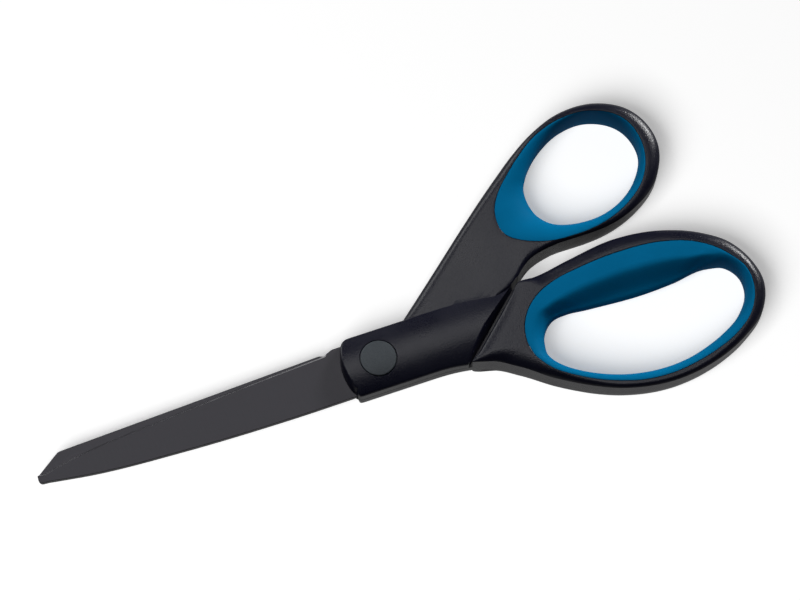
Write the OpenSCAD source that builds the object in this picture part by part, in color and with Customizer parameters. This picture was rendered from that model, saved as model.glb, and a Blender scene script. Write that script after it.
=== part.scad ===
// Office scissors with a barrel over the pivot and soft linings in both bows.
// The pivot axis is Z through the origin, the table is Z = 0, the closed blades run along -X,
// the thumb bow lies on the +Y side and the finger bow on the -Y side.

/* [Stack over the pivot] */
// Thickness of the closed scissors over the pivot and the bows
body_h = 11; // [10:0.25:13]
// Thickness of each blade
blade_t = 1.8; // [1.4:0.1:2.2]
// Running gap between the two blades, and between the two mouldings
blade_gap = 0.1; // [0.05:0.01:0.2]
// Clearance of a loose fit between two pieces
fit = 0.05; // [0.02:0.01:0.1]
// Gap between the mouldings where one swings past the other
swing_gap = 0.3; // [0.2:0.05:0.6]

/* [Blades] */
// Distance from the pivot to the tips
blade_l = 100.6; // [80:0.1:120]
// Distance from the pivot axis to the spine of the upper blade, at the hub
upper_spine = 7.7; // [6.5:0.1:9]
// Distance from the pivot axis to the cutting edge of the upper blade, at the hub
upper_edge = 7.4; // [6:0.1:8.5]
// Distance from the pivot axis to the spine of the lower blade
lower_spine = 7.9; // [7:0.1:9.5]
// Distance from the pivot axis to the cutting edge of the lower blade, at the hub
lower_edge = 7; // [6:0.1:7.5]
// Height of the tips over the pivot axis
tip_y = 2.2; // [1:0.1:3]
// Length of the slanted end of the lower blade's spine
tip_slant = 7.6; // [5:0.1:12]
// Radius of the upper blade's tip
upper_tip_r = 1.3; // [0.8:0.1:1.6]
// Radius of the lower blade's tip
lower_tip_r = 0.9; // [0.6:0.1:1.2]
// How far the blades stand out behind their cutting edges
ricasso = 0.5; // [0.2:0.1:0.8]
// Width of the ground bevel along a cutting edge
bevel_w = 0.9; // [0.5:0.05:1.5]
// Flat left at the very edge, under the bevel
edge_land = 0.1; // [0.05:0.01:0.3]
// Distance from the pivot to the end of each tang
tang_l = 38; // [30:1:42]
// Width of each tang
tang_w = 7; // [5:0.5:8]

/* [Barrel over the pivot] */
// Half width of the barrel
barrel_w = 8.75; // [8:0.05:10]
// Radius of the barrel's crest
barrel_r = 20; // [16:0.5:30]
// Distance from the pivot to the front of the barrel
barrel_front = 11.1; // [10.5:0.1:13]
// Radius of the barrel's rounded front, seen from above
front_r = 17; // [14:0.5:30]
// How far the barrel's front leans back along the blades, for each millimetre of height
front_lean = 0.22; // [0.1:0.01:0.5]
// How far it leans across the blades, towards the thumb's side, for each millimetre of height
front_skew = 0.4; // [0:0.01:0.5]
// Turn of the barrel from the blades
barrel_turn = -2; // [-4:0.5:0]
// Radius of the barrel's corners, seen from above
barrel_corner = 3; // [1:0.5:3]
// Distance from the pivot at which the lower sides start to flare towards the slit
flare_from = 14; // [12:0.5:18]
// How far the lower sides flare at the slit
flare_w = 1.25; // [0.5:0.05:1.5]
// How much narrower and shorter the lower hub is than the barrel
hub_inset = 0.15; // [0.1:0.05:1.5]
// How far the lower hub's underside stays above the table
hub_lift = 0.2; // [0.1:0.05:0.5]

/* [Slit between the handles] */
// Distance from the pivot to the slit's outer end, along the blades
slit_x = 23.2; // [22:0.1:26]
// Distance from the pivot to the slit's outer end, across the blades
slit_y = 10.4; // [9.5:0.1:11]
// Run of the slit along the blades
slit_run = 22.1; // [20:0.1:24]
// Rise of the slit across the blades
slit_rise = 19; // [17:0.1:20]
// Gap of the slit at its ends
slit_gap = 1.1; // [0.8:0.1:1.6]
// How far the slit's upper side is hollowed
slit_bulge = 1.2; // [0:0.1:2]

/* [Thumb bow] */
// Distance from the pivot to the thumb hole's centre, along the blades
thumb_x = 74; // [70:0.5:80]
// Distance from the pivot to the thumb hole's centre, across the blades
thumb_y = 32.3; // [30:0.1:36]
// Length of the thumb hole
thumb_hole_l = 35.4; // [30:0.1:38]
// Width of the thumb hole
thumb_hole_w = 29.2; // [26:0.1:32]
// Width of the lining at its narrowest
thumb_lining_w = 1.9; // [1.9:0.1:3.5]
// Extra width of the lining's pad on the hub side
thumb_pad_w = 9.2; // [6:0.1:10]
// Width of the hard rim at its narrowest
thumb_rim_w = 0.8; // [0.8:0.1:3]
// Extra width of the hard rim at the far end
thumb_rim_far_w = 3; // [1:0.1:4]
// Height of the shank's face above the parting plane, at the hub
shank_rise = 3.2; // [3:0.1:5]
// Slope of the shank's outer edge, across over along the blades
shank_slope = 0.76; // [0.7:0.005:0.85]
// How far that edge, drawn on, passes from the pivot
shank_y = 0.6; // [0:0.05:1]
// Distance from the pivot, along the blades, at which that edge starts inside the barrel
shank_root = 5.4; // [3:0.5:6]
// Height of the handles' rounded edges
edge_drop = 3; // [1:0.1:4]
// Width of a rounded edge, which each row of the bows' tables takes a share of
edge_w = 3; // [2:0.1:3.5]

/* [Finger bow] */
// Distance from the pivot to the finger hole's centre, along the blades
finger_x = 75; // [72:0.5:80]
// Distance from the pivot to the finger hole's centre, across the blades
finger_y = 17; // [15:0.1:20]
// Length of the finger hole
finger_hole_l = 59; // [54:0.5:64]
// Width of the finger hole
finger_hole_w = 26; // [24:0.1:30]
// Width of the lining at its narrowest
finger_lining_w = 2.4; // [1.9:0.1:4]
// Extra width of the lining's pad, where the fingers pull
finger_pad_w = 9.8; // [6:0.1:11]
// Width of the hard rim at its narrowest
finger_rim_w = 1.5; // [1.2:0.1:3]
// Extra width of the hard rim along the pad
finger_rim_pad_w = 2.5; // [0.5:0.1:3]
// Depth of the dish in the pad's face, as a share of the lining's height
finger_dish = 0.7; // [0:0.05:0.8]
// How far the hard core stands back under the dish
core_back = 2.9; // [0:0.1:4]
// Thickness of the soft skin over the hard core
skin = 1.6; // [1:0.1:1.8]

/* [Pivot hardware] */
// Radius of the screw's shank
screw_r = 2.5; // [2:0.1:3]
// Radius of the screw's head
head_r = 4; // [3.4:0.1:4.3]
// Room between the screw's head and the cap over it
head_room = 0.25; // [0.1:0.05:0.5]
// Width of the drive socket in the screw's head
socket_w = 3; // [2:0.1:3.5]
// Radius of the screw's thread
thread_r = 2; // [1.5:0.1:2.3]
// Wall of the bush around the shank
bush_wall = 0.7; // [0.5:0.1:1]
// Thickness of the bush's flange
flange_t = 0.4; // [0.3:0.05:0.5]
// Thickness of the spring washer
washer_t = 0.4; // [0.3:0.05:0.5]
// Distance across the nut's flats
nut_flats = 7; // [6:0.1:7.4]
// Room between the nut and the cap under it
nut_room = 0.45; // [0.1:0.05:0.8]
// Radius of the two cover caps
cap_r = 5.1; // [4.8:0.05:5.4]
// Thickness of the cover caps at the rim
cap_t = 0.9; // [0.7:0.05:1]
// Chamfer around the lower cap's face
cap_chamfer = 0.2; // [0.1:0.05:0.3]
// Gap around the cover caps
cap_gap = 0.15; // [0.05:0.05:0.3]
// Width of the ledge that carries each cap
ledge_w = 0.6; // [0.4:0.1:0.8]

/* [Hidden] */
mid = body_h / 2;
half_h = body_h / 2;
upper_z = mid + blade_gap / 2;
lower_z = mid - blade_gap / 2;
steel = [0.24, 0.24, 0.25];
black = [0.16, 0.16, 0.17];
blue = [0.0, 0.35, 0.55];
bright = [0.6, 0.6, 0.62];
nylon = [0.75, 0.74, 0.7];
STEPS = 3; // stations of a bow between two rows of its table
ROUND = 4; // steps of each rounded edge and of the lining's roll
thumb_c = [thumb_x, thumb_y];
finger_c = [finger_x, -finger_y];
thumb_half = [thumb_hole_l, thumb_hole_w] / 2;
finger_half = [finger_hole_l, finger_hole_w] / 2;
hub_w = barrel_w - hub_inset;
hub_front = barrel_front - hub_inset;
hub_swing = norm([hub_front, hub_w]) + swing_gap;
well_r = cap_r + cap_gap - ledge_w;
bore_r = screw_r + fit;
bush_r = bore_r + bush_wall;
// How far the barrel's surface falls from its crest to the rim of the cap.
cap_dip = barrel_r - sqrt(barrel_r * barrel_r - cap_r * cap_r);
cap_z = body_h - cap_dip - cap_t;
blade_top = upper_z + blade_t;
blade_foot = lower_z - blade_t;
washer_z = blade_top + flange_t + fit;
head_z = washer_z + washer_t;
head_h = cap_z - head_room - head_z;
nut_z = cap_t + nut_room;
nut_h = blade_foot - nut_z;
upper_tang_angle = 24;
lower_tang_angle = -11;
flare_to = slit_x + 2 * slit_gap;
front_y = -0.16 * barrel_w; // how far the front's centre lies beside the barrel's axis
hub_lap = 2 * slit_gap; // how far the lower hub runs on into the finger bow
BEYOND = 0.2; // how far a cut runs past the face it opens
PAD_SHARE = [0.2, 0.7]; // shares of the pad between which the dish deepens to its full depth
DISH_SHARE = [0.42, 0.92]; // shares of the lining's width between which the dish falls
LIP_SHARE = 0.88; // share of the lining's width at which its lip round the hole starts

// ---- curves ----

function unit(v) = v / norm(v);
function mix(a, b, s) = a + (b - a) * s;
function left_of(v) = [-v.y, v.x];
function scaled(a, b) = [a.x * b.x, a.y * b.y];

// Direction of a smooth curve at b, on its way from a to c.
function heading(a, b, c) =
    let (before = norm(b - a), after = norm(c - b))
    unit((b - a) * after / before + (c - b) * before / after);

// A point at share s of the smooth stretch from p to q, which leaves along tp and arrives along tq.
function stretch(p, q, tp, tq, s) =
    let (run = norm(q - p), s2 = s * s, s3 = s2 * s)
    p * (2 * s3 - 3 * s2 + 1) + q * (3 * s2 - 2 * s3) + run * (tp * (s3 - 2 * s2 + s) + tq * (s3 - s2));

// A closed smooth curve through the points p, with n steps from each to the next.
function loop_through(p, n) =
    let (m = len(p))
    [for (i = [0:m - 1], k = [0:n - 1])
        let (a = p[(i + m - 1) % m], b = p[i], c = p[(i + 1) % m], d = p[(i + 2) % m])
        stretch(b, c, heading(a, b, c), heading(b, c, d), k / n)];

// An open smooth curve through the points p, with n steps from each to the next.
function line_through(p, n) =
    let (m = len(p))
    [for (i = [0:m - 2], k = [0:n - 1])
        let (a = i > 0 ? p[i - 1] : 2 * p[0] - p[1], d = i < m - 2 ? p[i + 2] : 2 * p[m - 1] - p[m - 2])
        stretch(p[i], p[i + 1], heading(a, p[i], p[i + 1]), heading(p[i], p[i + 1], d), k / n), p[m - 1]];

// The values v, closed and drawn out in even steps.
function even_through(v, n) =
    let (m = len(v))
    [for (i = [0:m - 1], k = [0:n - 1]) mix(v[i], v[(i + 1) % m], k / n)];

// The unit normals of a closed anticlockwise curve, pointing inwards.
function inward(c) =
    let (m = len(c))
    [for (i = [0:m - 1]) left_of(unit(c[(i + 1) % m] - c[(i + m - 1) % m]))];

// An arc about c, of radius r, from angle a to angle b.
function arc(c, r, a, b, n = 8) = [for (k = [0:n]) let (t = mix(a, b, k / n)) c + r * [cos(t), sin(t)]];

function turned(p, a) = [p.x * cos(a) - p.y * sin(a), p.x * sin(a) + p.y * cos(a)];
function turned_all(c, a) = [for (p = c) turned(p, a)];

// ---- the slit that parts the two handles on top ----

slit_from = [slit_x, -slit_y];
slit_to = slit_from + [slit_run, slit_rise];
slit_off = left_of(unit(slit_to - slit_from));
// The barrel's end, hollowed by the bulge, and the shoulder opposite, which is straight.
function barrel_end(s) = mix(slit_from, slit_to, s) + slit_off * slit_bulge * 4 * s * (1 - s);
function shoulder(s) = mix(slit_from, slit_to, s) - slit_off * slit_gap;

// ---- the bows, as tables: one row a station, anticlockwise from the far end ----
// Each row holds the hole's x and y as shares of its half sizes, the share of the pad in the lining's
// width, the share of the extra rim in the rim's width, and the share of edge_w in the rounded edge.

thumb_rows = [
    [1.007, 0, -0.058, 1.237, 1.13],
    [0.901, 0.632, -0.089, 0.958, 1],
    [0.488, 1.02, -0.169, 0.668, 0.63],
    [0, 0.991, -0.05, 0.405, 0.43],
    [-0.377, 0.792, 0.087, 0.19, 0.4],
    [-0.704, 0.496, 0.217, 0.434, 0.43],
    [-0.859, 0.279, 0.382, 0.79, 0.53],
    [-0.952, 0.08, 0.622, 0.15, 0.57],
    [-0.98, -0.12, 0.896, 0.15, 0.57],
    [-0.974, -0.28, 1.03, 0.15, 0.57],
    [-0.959, -0.38, 1.073, 0.15, 0.13],
    [-0.929, -0.5, 1.024, 0.15, 0.13],
    [-0.871, -0.623, 0.877, 0.15, 0.13],
    [-0.781, -0.751, 0.682, 0.15, 0.3],
    [-0.685, -0.834, 0.56, 0.15, 0.4],
    [-0.571, -0.896, 0.45, 0.089, 0.4],
    [-0.447, -0.943, 0.343, -0.016, 0.37],
    [-0.22, -0.989, 0.225, 0.006, 0.37],
    [0, -0.991, 0.147, 0.152, 0.37],
    [0.408, -0.854, 0.081, 0.455, 0.5],
    [0.763, -0.534, 0.066, 0.884, 0.8]];

finger_rows = [
    [0.999, 0, -0.01, 0.681, 0.8],
    [1.001, 0.389, -0.047, 0.563, 0.8],
    [0.913, 0.678, -0.015, 0.817, 0.8],
    [0.727, 0.774, 0.351, 0.897, 0.83],
    [0.39, 0.705, 1.023, 0.844, 0.87],
    [0.172, 0.692, 1.109, 0.991, 0.9],
    [0, 0.703, 1.061, 1.173, 0.93],
    [-0.189, 0.738, 1.173, 1.044, 0.93],
    [-0.345, 0.779, 1.26, 1.345, 0.93],
    [-0.496, 0.82, 1.16, 0.15, 0.8],
    [-0.671, 0.875, 0.839, 0.15, 0.73],
    [-0.84, 0.837, 0.519, 0.15, 0.67],
    [-0.923, 0.698, 0.403, 0.15, 0.53],
    [-0.981, 0.496, 0.304, 0.15, 0.33],
    [-0.995, 0.374, 0.271, 0.15, 0.2],
    [-1.004, 0.269, 0.216, 0.15, 0.17],
    [-1.005, 0.15, 0.179, 0.15, 0.23],
    [-0.979, 0, 0.148, 0.15, 1],
    [-0.888, -0.249, 0.15, 0.15, 1.5],
    [-0.767, -0.463, 0.12, 0.15, 0.87],
    [-0.557, -0.728, 0.103, 0.241, 0.6],
    [-0.388, -0.879, 0.086, 0.251, 0.5],
    [-0.245, -0.964, 0.091, 0.176, 0.47],
    [0, -1.039, 0.077, 0.233, 0.47],
    [0.257, -1.014, 0.08, 0.403, 0.5],
    [0.414, -0.937, 0.126, 0.455, 0.5],
    [0.608, -0.792, 0.18, 0.442, 0.53],
    [0.837, -0.51, 0.128, 0.648, 0.67]];

function hole_points(rows, c, half) = [for (r = rows) c + scaled([r[0], r[1]], half)];
function lining_points(rows, c, half, w, pad_w) =
    [for (r = rows) let (p = scaled([r[0], r[1]], half)) c + p + unit(p) * (w + pad_w * r[2])];
function rim_points(rows, c, half, w, pad_w, rim_w, far_w) =
    [for (r = rows) let (p = scaled([r[0], r[1]], half))
        c + p + unit(p) * (w + pad_w * r[2] + rim_w + far_w * r[3])];

thumb_rim = rim_points(thumb_rows, thumb_c, thumb_half, thumb_lining_w, thumb_pad_w,
    thumb_rim_w, thumb_rim_far_w);
finger_rim = rim_points(finger_rows, finger_c, finger_half, finger_lining_w, finger_pad_w,
    finger_rim_w, finger_rim_pad_w);

function round_edge(rows) = even_through([for (r = rows) r[4] * edge_w], STEPS);

function ramp(v, range) = max(0, min(1, (v - range[0]) / (range[1] - range[0])));

// How much of the dish each station carries, from 0 to 1.
thumb_dished = [for (e = round_edge(thumb_rows)) 0];
finger_dished = even_through([for (r = finger_rows) ramp(r[2], PAD_SHARE)], STEPS);

// The shank of the thumb handle leaves the bow after row 6 and comes back to it at row 15.
function shank_edge(x) = [x, shank_y + x * shank_slope];
shank_foot = [1, -0.09] * barrel_front;
function on_shank(i) =
    i < 10 ? shank_edge(mix(thumb_rim[6].x, shank_root, [0.3, 0.62, 0.94][i - 7]))
    : i == 10 ? shank_edge(shank_root)
    : i == 11 ? shank_foot
    : i == 12 ? mix(shank_foot, slit_to, 0.6) - [0, slit_gap]
    : i == 13 ? slit_to - [0.82, 0.73] * slit_gap
    : slit_to + [3.33, 2.52] * slit_gap;
thumb_outline = [for (i = [0:len(thumb_rows) - 1]) i > 6 && i < 15 ? on_shank(i) : thumb_rim[i]];

// The shoulder of the finger handle leaves the bow after row 8 and comes back to it at row 20.
hub_side = [slit_x + 1.7 * slit_gap, -slit_y - 0.36 * slit_gap];
function on_shoulder(i) =
    i == 9 ? mix(shoulder(0.95), finger_rim[8], 0.51)
    : i < 15 ? shoulder([0.95, 0.8, 0.58, 0.36, 0.16][i - 10])
    : i == 15 ? hub_side + [-0.5, 0.12] * slit_gap
    : i == 16 ? hub_side
    : i == 17 ? hub_side + [3.6, -0.84] * slit_gap
    : i == 18 ? mix(hub_side, finger_rim[20], 0.36) + [0.54, 1.22] * slit_gap
    : mix(hub_side, finger_rim[20], 0.68) + [0.1, 0.08] * slit_gap;
finger_outline = [for (i = [0:len(finger_rows) - 1]) i > 8 && i < 20 ? on_shoulder(i) : finger_rim[i]];

thumb_seat = loop_through(lining_points(thumb_rows, thumb_c, thumb_half, thumb_lining_w, thumb_pad_w), STEPS);
thumb_hole = loop_through(hole_points(thumb_rows, thumb_c, thumb_half), STEPS);
finger_seat = loop_through(
    lining_points(finger_rows, finger_c, finger_half, finger_lining_w, finger_pad_w), STEPS);
finger_hole = loop_through(hole_points(finger_rows, finger_c, finger_half), STEPS);

// ---- surfaces ----

// A closed ring of m sections of n points each, as a polyhedron.
module ring(sections) {
    m = len(sections);
    n = len(sections[0]);
    polyhedron(
        points = [for (s = sections, p = s) p],
        faces = [for (i = [0:m - 1], j = [0:n - 1])
            let (next = (i + 1) % m * n, side = (j + 1) % n,
                a = i * n + j, b = i * n + side, c = next + side, d = next + j)
            each [[a, c, b], [a, d, c]]]);
}

// The hard part of a bow. Each section runs from the flat top over the rounded edge to the flat
// bottom, and back along the lining's seat: a step of one skin, then an ellipse over the core.
module hard_bow(outline, edge, lining, hole, rise, dished) {
    in = inward(outline);
    ring([for (i = [0:len(outline) - 1])
        let (o = outline[i], b = lining[i],
            tip = hole[i] + unit(b - hole[i]) * (skin + fit + core_back * dished[i]),
            top = rise(o), land = rise(b), round = min(edge[i], 0.7 * norm(b - o)),
            soft = min(3 * round, edge_drop))
        concat(
            [[b.x, b.y, mid + land]],
            [for (k = [ROUND:-1:0])
                let (a = 90 * k / ROUND, p = o + in[i] * round * (1 - cos(a)))
                [p.x, p.y, mid + top - soft * (1 - sin(a))]],
            [for (k = [0:ROUND])
                let (a = 90 * k / ROUND, p = o + in[i] * round * (1 - cos(a)))
                [p.x, p.y, mid - top + soft * (1 - sin(a))]],
            [[b.x, b.y, mid - land]],
            [for (k = [-ROUND:ROUND])
                let (a = 90 * k / ROUND, p = mix(b, tip, cos(a)))
                [p.x, p.y, mid + (land - skin - fit) * sin(a)]])]);
}

// Height of the lining's roll over the parting plane, as a share of its seat's: a is the angle round
// the roll and d the share of the dish.
function roll_height(a, d) =
    let (s = cos(a), fall = ramp(s, DISH_SHARE), lip = sqrt(1 - pow(ramp(s, [LIP_SHARE, 1]), 2)))
    mix(sin(a), sign(a) * (1 - finger_dish * fall * fall * (3 - 2 * fall)) * lip, d);

// The soft lining of a bow: an elliptical roll over the core, from the parting line on top to that
// underneath, dished where the pad is.
module soft_bow(lining, hole, rise, dished) {
    ring([for (i = [0:len(lining) - 1])
        let (b = lining[i], h = hole[i], land = rise(b), edge = b + unit(h - b) * fit,
            tip = h + unit(b - h) * (skin + core_back * dished[i]))
        concat(
            [for (k = [ROUND:-1:-ROUND])
                let (a = 90 * k / ROUND, p = mix(edge, h, cos(a)))
                [p.x, p.y, mid + land * roll_height(a, dished[i])]],
            [for (k = [-ROUND:ROUND])
                let (a = 90 * k / ROUND, p = mix(edge, tip, cos(a)))
                [p.x, p.y, mid + (land - skin) * sin(a)]])]);
}

thumb_rise = function (p)
    let (near = barrel_front, far = norm(thumb_c) - thumb_half.x - thumb_pad_w)
    mix(shank_rise, half_h, max(0, min(1, (norm(p) - near) / (far - near))));
finger_rise = function (p) half_h;

// ---- the barrel and the lower hub ----

// Seen from above: the barrel's front corners and sides, for a half width w, in the barrel's own
// direction. The front itself stands out a little, for the sloped cut.
function hub_plan(w, front, back) =
    let (c = barrel_corner, cx = front_r - front,
        low = cx - sqrt(pow(front_r - c, 2) - pow(w - c + front_y, 2)),
        high = cx - sqrt(pow(front_r - c, 2) - pow(w - c - front_y, 2)))
    concat(
        arc([low, c - w], c, atan2(c - w - front_y, low - cx), -90),
        [for (k = [0:6]) [mix(flare_from, flare_to, k / 6), -w - flare_w * pow(k / 6, 2.2)]],
        [[flare_to + 2 * slit_gap, -w], [back, -w], [back, w]],
        arc([high, w - c], c, 90, atan2(w - c - front_y, high - cx)),
        arc([cx, front_y], 1.03 * front_r, 155, 205));

// The long half round form over the pivot, from z = 0 at the parting plane up to its crest, or cut
// flat at the height top where that is lower.
module half_barrel(w, front, top, crest) {
    run = slit_x + slit_run;
    rotate([0, 0, barrel_turn])
    intersection() {
        linear_extrude(height = top) polygon(hub_plan(w, front, run));
        translate([0, 0, crest - barrel_r]) rotate([0, 90, 0])
            cylinder(r = barrel_r, h = 2 * run, center = true, $fn = 128);
        union() {
            multmatrix([[1, 0, front_lean, front_r - front], [0, 1, front_skew, front_y], [0, 0, 1, 0]])
                cylinder(r = front_r, h = body_h, $fn = 128);
            translate([front_r - front, -2 * w, -1]) cube([2 * run, 4 * w, body_h + 2]);
        }
    }
}

// All that lies on the finger side of the slit, for cutting the barrel's end.
module beyond_slit() {
    linear_extrude(height = body_h + 1)
        polygon(concat([for (s = [-0.1:0.1:1]) barrel_end(s)],
            [slit_to + [slit_gap, -slit_gap], slit_to + [slit_gap, -3 * slit_y],
                slit_from - [4 * slit_gap, 3 * slit_y]]));
}

// The room under the parting plane that the lower hub takes, or swings through, grown by a gap.
module lower_room(gap) {
    translate([0, 0, -1]) linear_extrude(height = upper_z + 1) {
        circle(r = hub_swing, $fn = 96);
        polygon(turned_all([[0, -3 * slit_y], [slit_x + slit_run + 2 * slit_gap, -3 * slit_y],
            [slit_x + slit_run + 2 * slit_gap, hub_w + gap], [0, hub_w + gap]], barrel_turn));
    }
}

// ---- blades ----

upper_rib = line_through([[0, -upper_spine], [-0.3 * blade_l, -0.883 * upper_spine],
    [-0.6 * blade_l, -0.63 * upper_spine], [-0.85 * blade_l, -0.28 * upper_spine],
    [-0.975 * blade_l, tip_y - 0.26 * upper_spine]], 4);
upper_cut = line_through([[-blade_l + 0.08 * upper_tip_r, tip_y + 0.46 * upper_tip_r],
    [-0.9 * blade_l, mix(tip_y, upper_edge, 0.44)],
    [-0.6 * blade_l, mix(tip_y, upper_edge, 0.78)], [-0.3 * blade_l, upper_edge - ricasso / 2],
    [-1.14 * barrel_front, upper_edge]], 4);
lower_cut = line_through([[0, -lower_edge], [-0.3 * blade_l, -0.87 * lower_edge],
    [-0.6 * blade_l, -0.6 * lower_edge], [-0.9 * blade_l, 0],
    [-blade_l + 0.67 * lower_tip_r, tip_y - 0.67 * lower_tip_r]], 4);

// The round end of a blade about the pivot, from its top side over the tang to its lower side.
function root(r, angle) =
    let (half = asin(tang_w / 2 / r))
    concat(arc([0, 0], r, 90, angle + half),
        turned_all([[tang_l, tang_w / 2], [tang_l, -tang_w / 2]], angle),
        arc([0, 0], r, angle - half, -90));

upper_plan = concat(upper_rib,
    arc([-blade_l + upper_tip_r, tip_y - 0.46 * upper_tip_r], upper_tip_r, 250, 160, 4), upper_cut,
    [[-barrel_front, upper_edge + ricasso]], root(upper_spine, upper_tang_angle));
lower_plan = concat(lower_cut,
    arc([-blade_l + lower_tip_r, tip_y + lower_tip_r / 3], lower_tip_r, 240, 140, 4),
    [[-blade_l + tip_slant, 0.987 * lower_spine], [-blade_l + 1.13 * tip_slant, lower_spine],
        [-1.35 * barrel_front, lower_spine], [-1.09 * barrel_front, 0.97 * lower_edge]],
    root(lower_edge, lower_tang_angle));

// The wedge that the grinding takes off a blade with its inner face at z = 0, along its edge.
// The edge runs with the steel on its right for side = -1 and on its left for side = 1.
module ground_off(edge, side) {
    m = len(edge);
    c = concat([edge[0] - unit(edge[1] - edge[0]) * BEYOND], edge,
        [edge[m - 1] + unit(edge[m - 1] - edge[m - 2]) * BEYOND]);
    n = m + 2;
    function back(z) = bevel_w * (z - edge_land) / (blade_t - edge_land);
    into = [for (i = [0:n - 1]) left_of(unit(c[min(i + 1, n - 1)] - c[max(i - 1, 0)])) * side];
    profile = [[back(-BEYOND), -BEYOND], [back(blade_t + BEYOND), blade_t + BEYOND],
        [-2, blade_t + BEYOND], [-2, -BEYOND]];
    ends = side > 0 ? [[0, 1, 2, 3], [for (j = [3:-1:0]) (n - 1) * 4 + j]]
        : [[3, 2, 1, 0], [for (j = [0:3]) (n - 1) * 4 + j]];
    polyhedron(
        points = [for (i = [0:n - 1], p = profile) let (q = c[i] + into[i] * p.x) [q.x, q.y, p.y]],
        faces = concat(ends, [for (i = [0:n - 2], j = [0:3])
            let (a = i * 4 + j, b = i * 4 + (j + 1) % 4)
            each (side > 0 ? [[a, a + 4, b + 4], [a, b + 4, b]] : [[a, b + 4, a + 4], [a, b, b + 4]])]));
}

module upper_blade() {
    color(steel) translate([0, 0, upper_z]) difference() {
        linear_extrude(height = blade_t) polygon(upper_plan);
        translate([0, 0, -1]) cylinder(r = bush_r + fit, h = blade_t + 2, $fn = 64);
        ground_off(upper_cut, -1);
    }
}

module lower_blade() {
    color(steel) translate([0, 0, lower_z]) mirror([0, 0, 1]) difference() {
        linear_extrude(height = blade_t) polygon(lower_plan);
        translate([0, 0, -1]) cylinder(r = bore_r, h = blade_t + 2, $fn = 64);
        ground_off(lower_cut, -1);
    }
}

// The room for a blade's root in a moulding, from z = 0 up to h: it is open at the front, over the
// width from -low to high.
module root_room(r, low, high, angle, h) {
    translate([-barrel_front - 2, -low - fit, 0]) cube([barrel_front + 2, low + high + 2 * fit, h]);
    cylinder(r = r + fit, h = h, $fn = 96);
    rotate(angle) translate([0, -tang_w / 2 - fit, 0]) cube([tang_l + fit, tang_w + 2 * fit, h]);
}

// ---- mouldings ----

module thumb_handle() {
    color(black) difference() {
        union() {
            hard_bow(loop_through(thumb_outline, STEPS), round_edge(thumb_rows),
                thumb_seat, thumb_hole, thumb_rise, thumb_dished);
            translate([0, 0, mid]) half_barrel(barrel_w, barrel_front, half_h + BEYOND, half_h);
        }
        lower_room(swing_gap);
        beyond_slit();
        translate([0, 0, upper_z - 1])
            root_room(upper_spine, upper_spine, upper_edge + ricasso, upper_tang_angle, blade_t + fit + 1);
        translate([0, 0, upper_z]) cylinder(r = well_r, h = half_h, $fn = 64);
        translate([0, 0, cap_z]) cylinder(r = cap_r + cap_gap, h = half_h, $fn = 64);
    }
}

module finger_handle() {
    color(black) difference() {
        union() {
            hard_bow(loop_through(finger_outline, STEPS), round_edge(finger_rows),
                finger_seat, finger_hole, finger_rise, finger_dished);
            difference() {
                translate([0, 0, lower_z]) mirror([0, 0, 1])
                    half_barrel(hub_w, hub_front, lower_z - hub_lift, lower_z - hub_lift + cap_dip);
                translate(-slit_off * hub_lap) beyond_slit();
            }
        }
        translate([0, 0, blade_foot - fit])
            root_room(lower_edge, lower_edge, lower_edge, lower_tang_angle, blade_t + 2 * fit);
        translate([0, 0, -1]) cylinder(r = nut_flats / sqrt(3) + fit, h = half_h, $fn = 6);
        translate([0, 0, -1]) cylinder(r = cap_r + fit, h = cap_t + 1, $fn = 64);
    }
}

module thumb_lining() {
    color(blue) soft_bow(thumb_seat, thumb_hole, thumb_rise, thumb_dished);
}

module finger_lining() {
    color(blue) soft_bow(finger_seat, finger_hole, finger_rise, finger_dished);
}

// ---- pivot hardware ----

module pivot_bush() {
    color(nylon) translate([0, 0, upper_z]) difference() {
        union() {
            cylinder(r = bush_r, h = blade_t + flange_t, $fn = 64);
            translate([0, 0, blade_t]) cylinder(r = well_r - fit, h = flange_t, $fn = 64);
        }
        translate([0, 0, -1]) cylinder(r = bore_r, h = half_h, $fn = 64);
    }
}

// A slightly conical washer, pressed nearly flat.
module spring_washer() {
    color(bright) translate([0, 0, washer_z]) rotate_extrude($fn = 64)
        polygon([[head_r, 0], [head_r, 0.6 * washer_t], [bore_r, washer_t], [bore_r, 0.4 * washer_t]]);
}

module pivot_screw() {
    color(bright) difference() {
        union() {
            translate([0, 0, nut_z]) cylinder(r = thread_r, h = nut_h + BEYOND, $fn = 48);
            translate([0, 0, blade_foot]) cylinder(r = screw_r, h = head_z - blade_foot + BEYOND, $fn = 64);
            translate([0, 0, head_z]) cylinder(r = head_r, h = head_h, $fn = 64);
        }
        translate([0, 0, head_z + head_h / 2]) cylinder(d = socket_w / cos(30), h = half_h, $fn = 6);
    }
}

module pivot_nut() {
    color(bright) translate([0, 0, nut_z]) difference() {
        cylinder(r = nut_flats / sqrt(3), h = nut_h, $fn = 6);
        translate([0, 0, -1]) cylinder(r = thread_r + fit, h = nut_h + 2, $fn = 48);
    }
}

// The cap over the screw: its face follows the barrel's crest.
module upper_cap() {
    color(black) intersection() {
        translate([0, 0, cap_z]) cylinder(r = cap_r, h = half_h, $fn = 64);
        rotate([0, 0, barrel_turn]) translate([0, 0, body_h - barrel_r]) rotate([0, 90, 0])
            cylinder(r = barrel_r, h = 4 * cap_r, center = true, $fn = 128);
    }
}

// The cap under the nut, with a flat face for the table.
module lower_cap() {
    color(black) union() {
        cylinder(r1 = cap_r - cap_chamfer, r2 = cap_r, h = cap_chamfer, $fn = 64);
        translate([0, 0, cap_chamfer]) cylinder(r = cap_r, h = cap_t - cap_chamfer, $fn = 64);
    }
}

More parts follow.
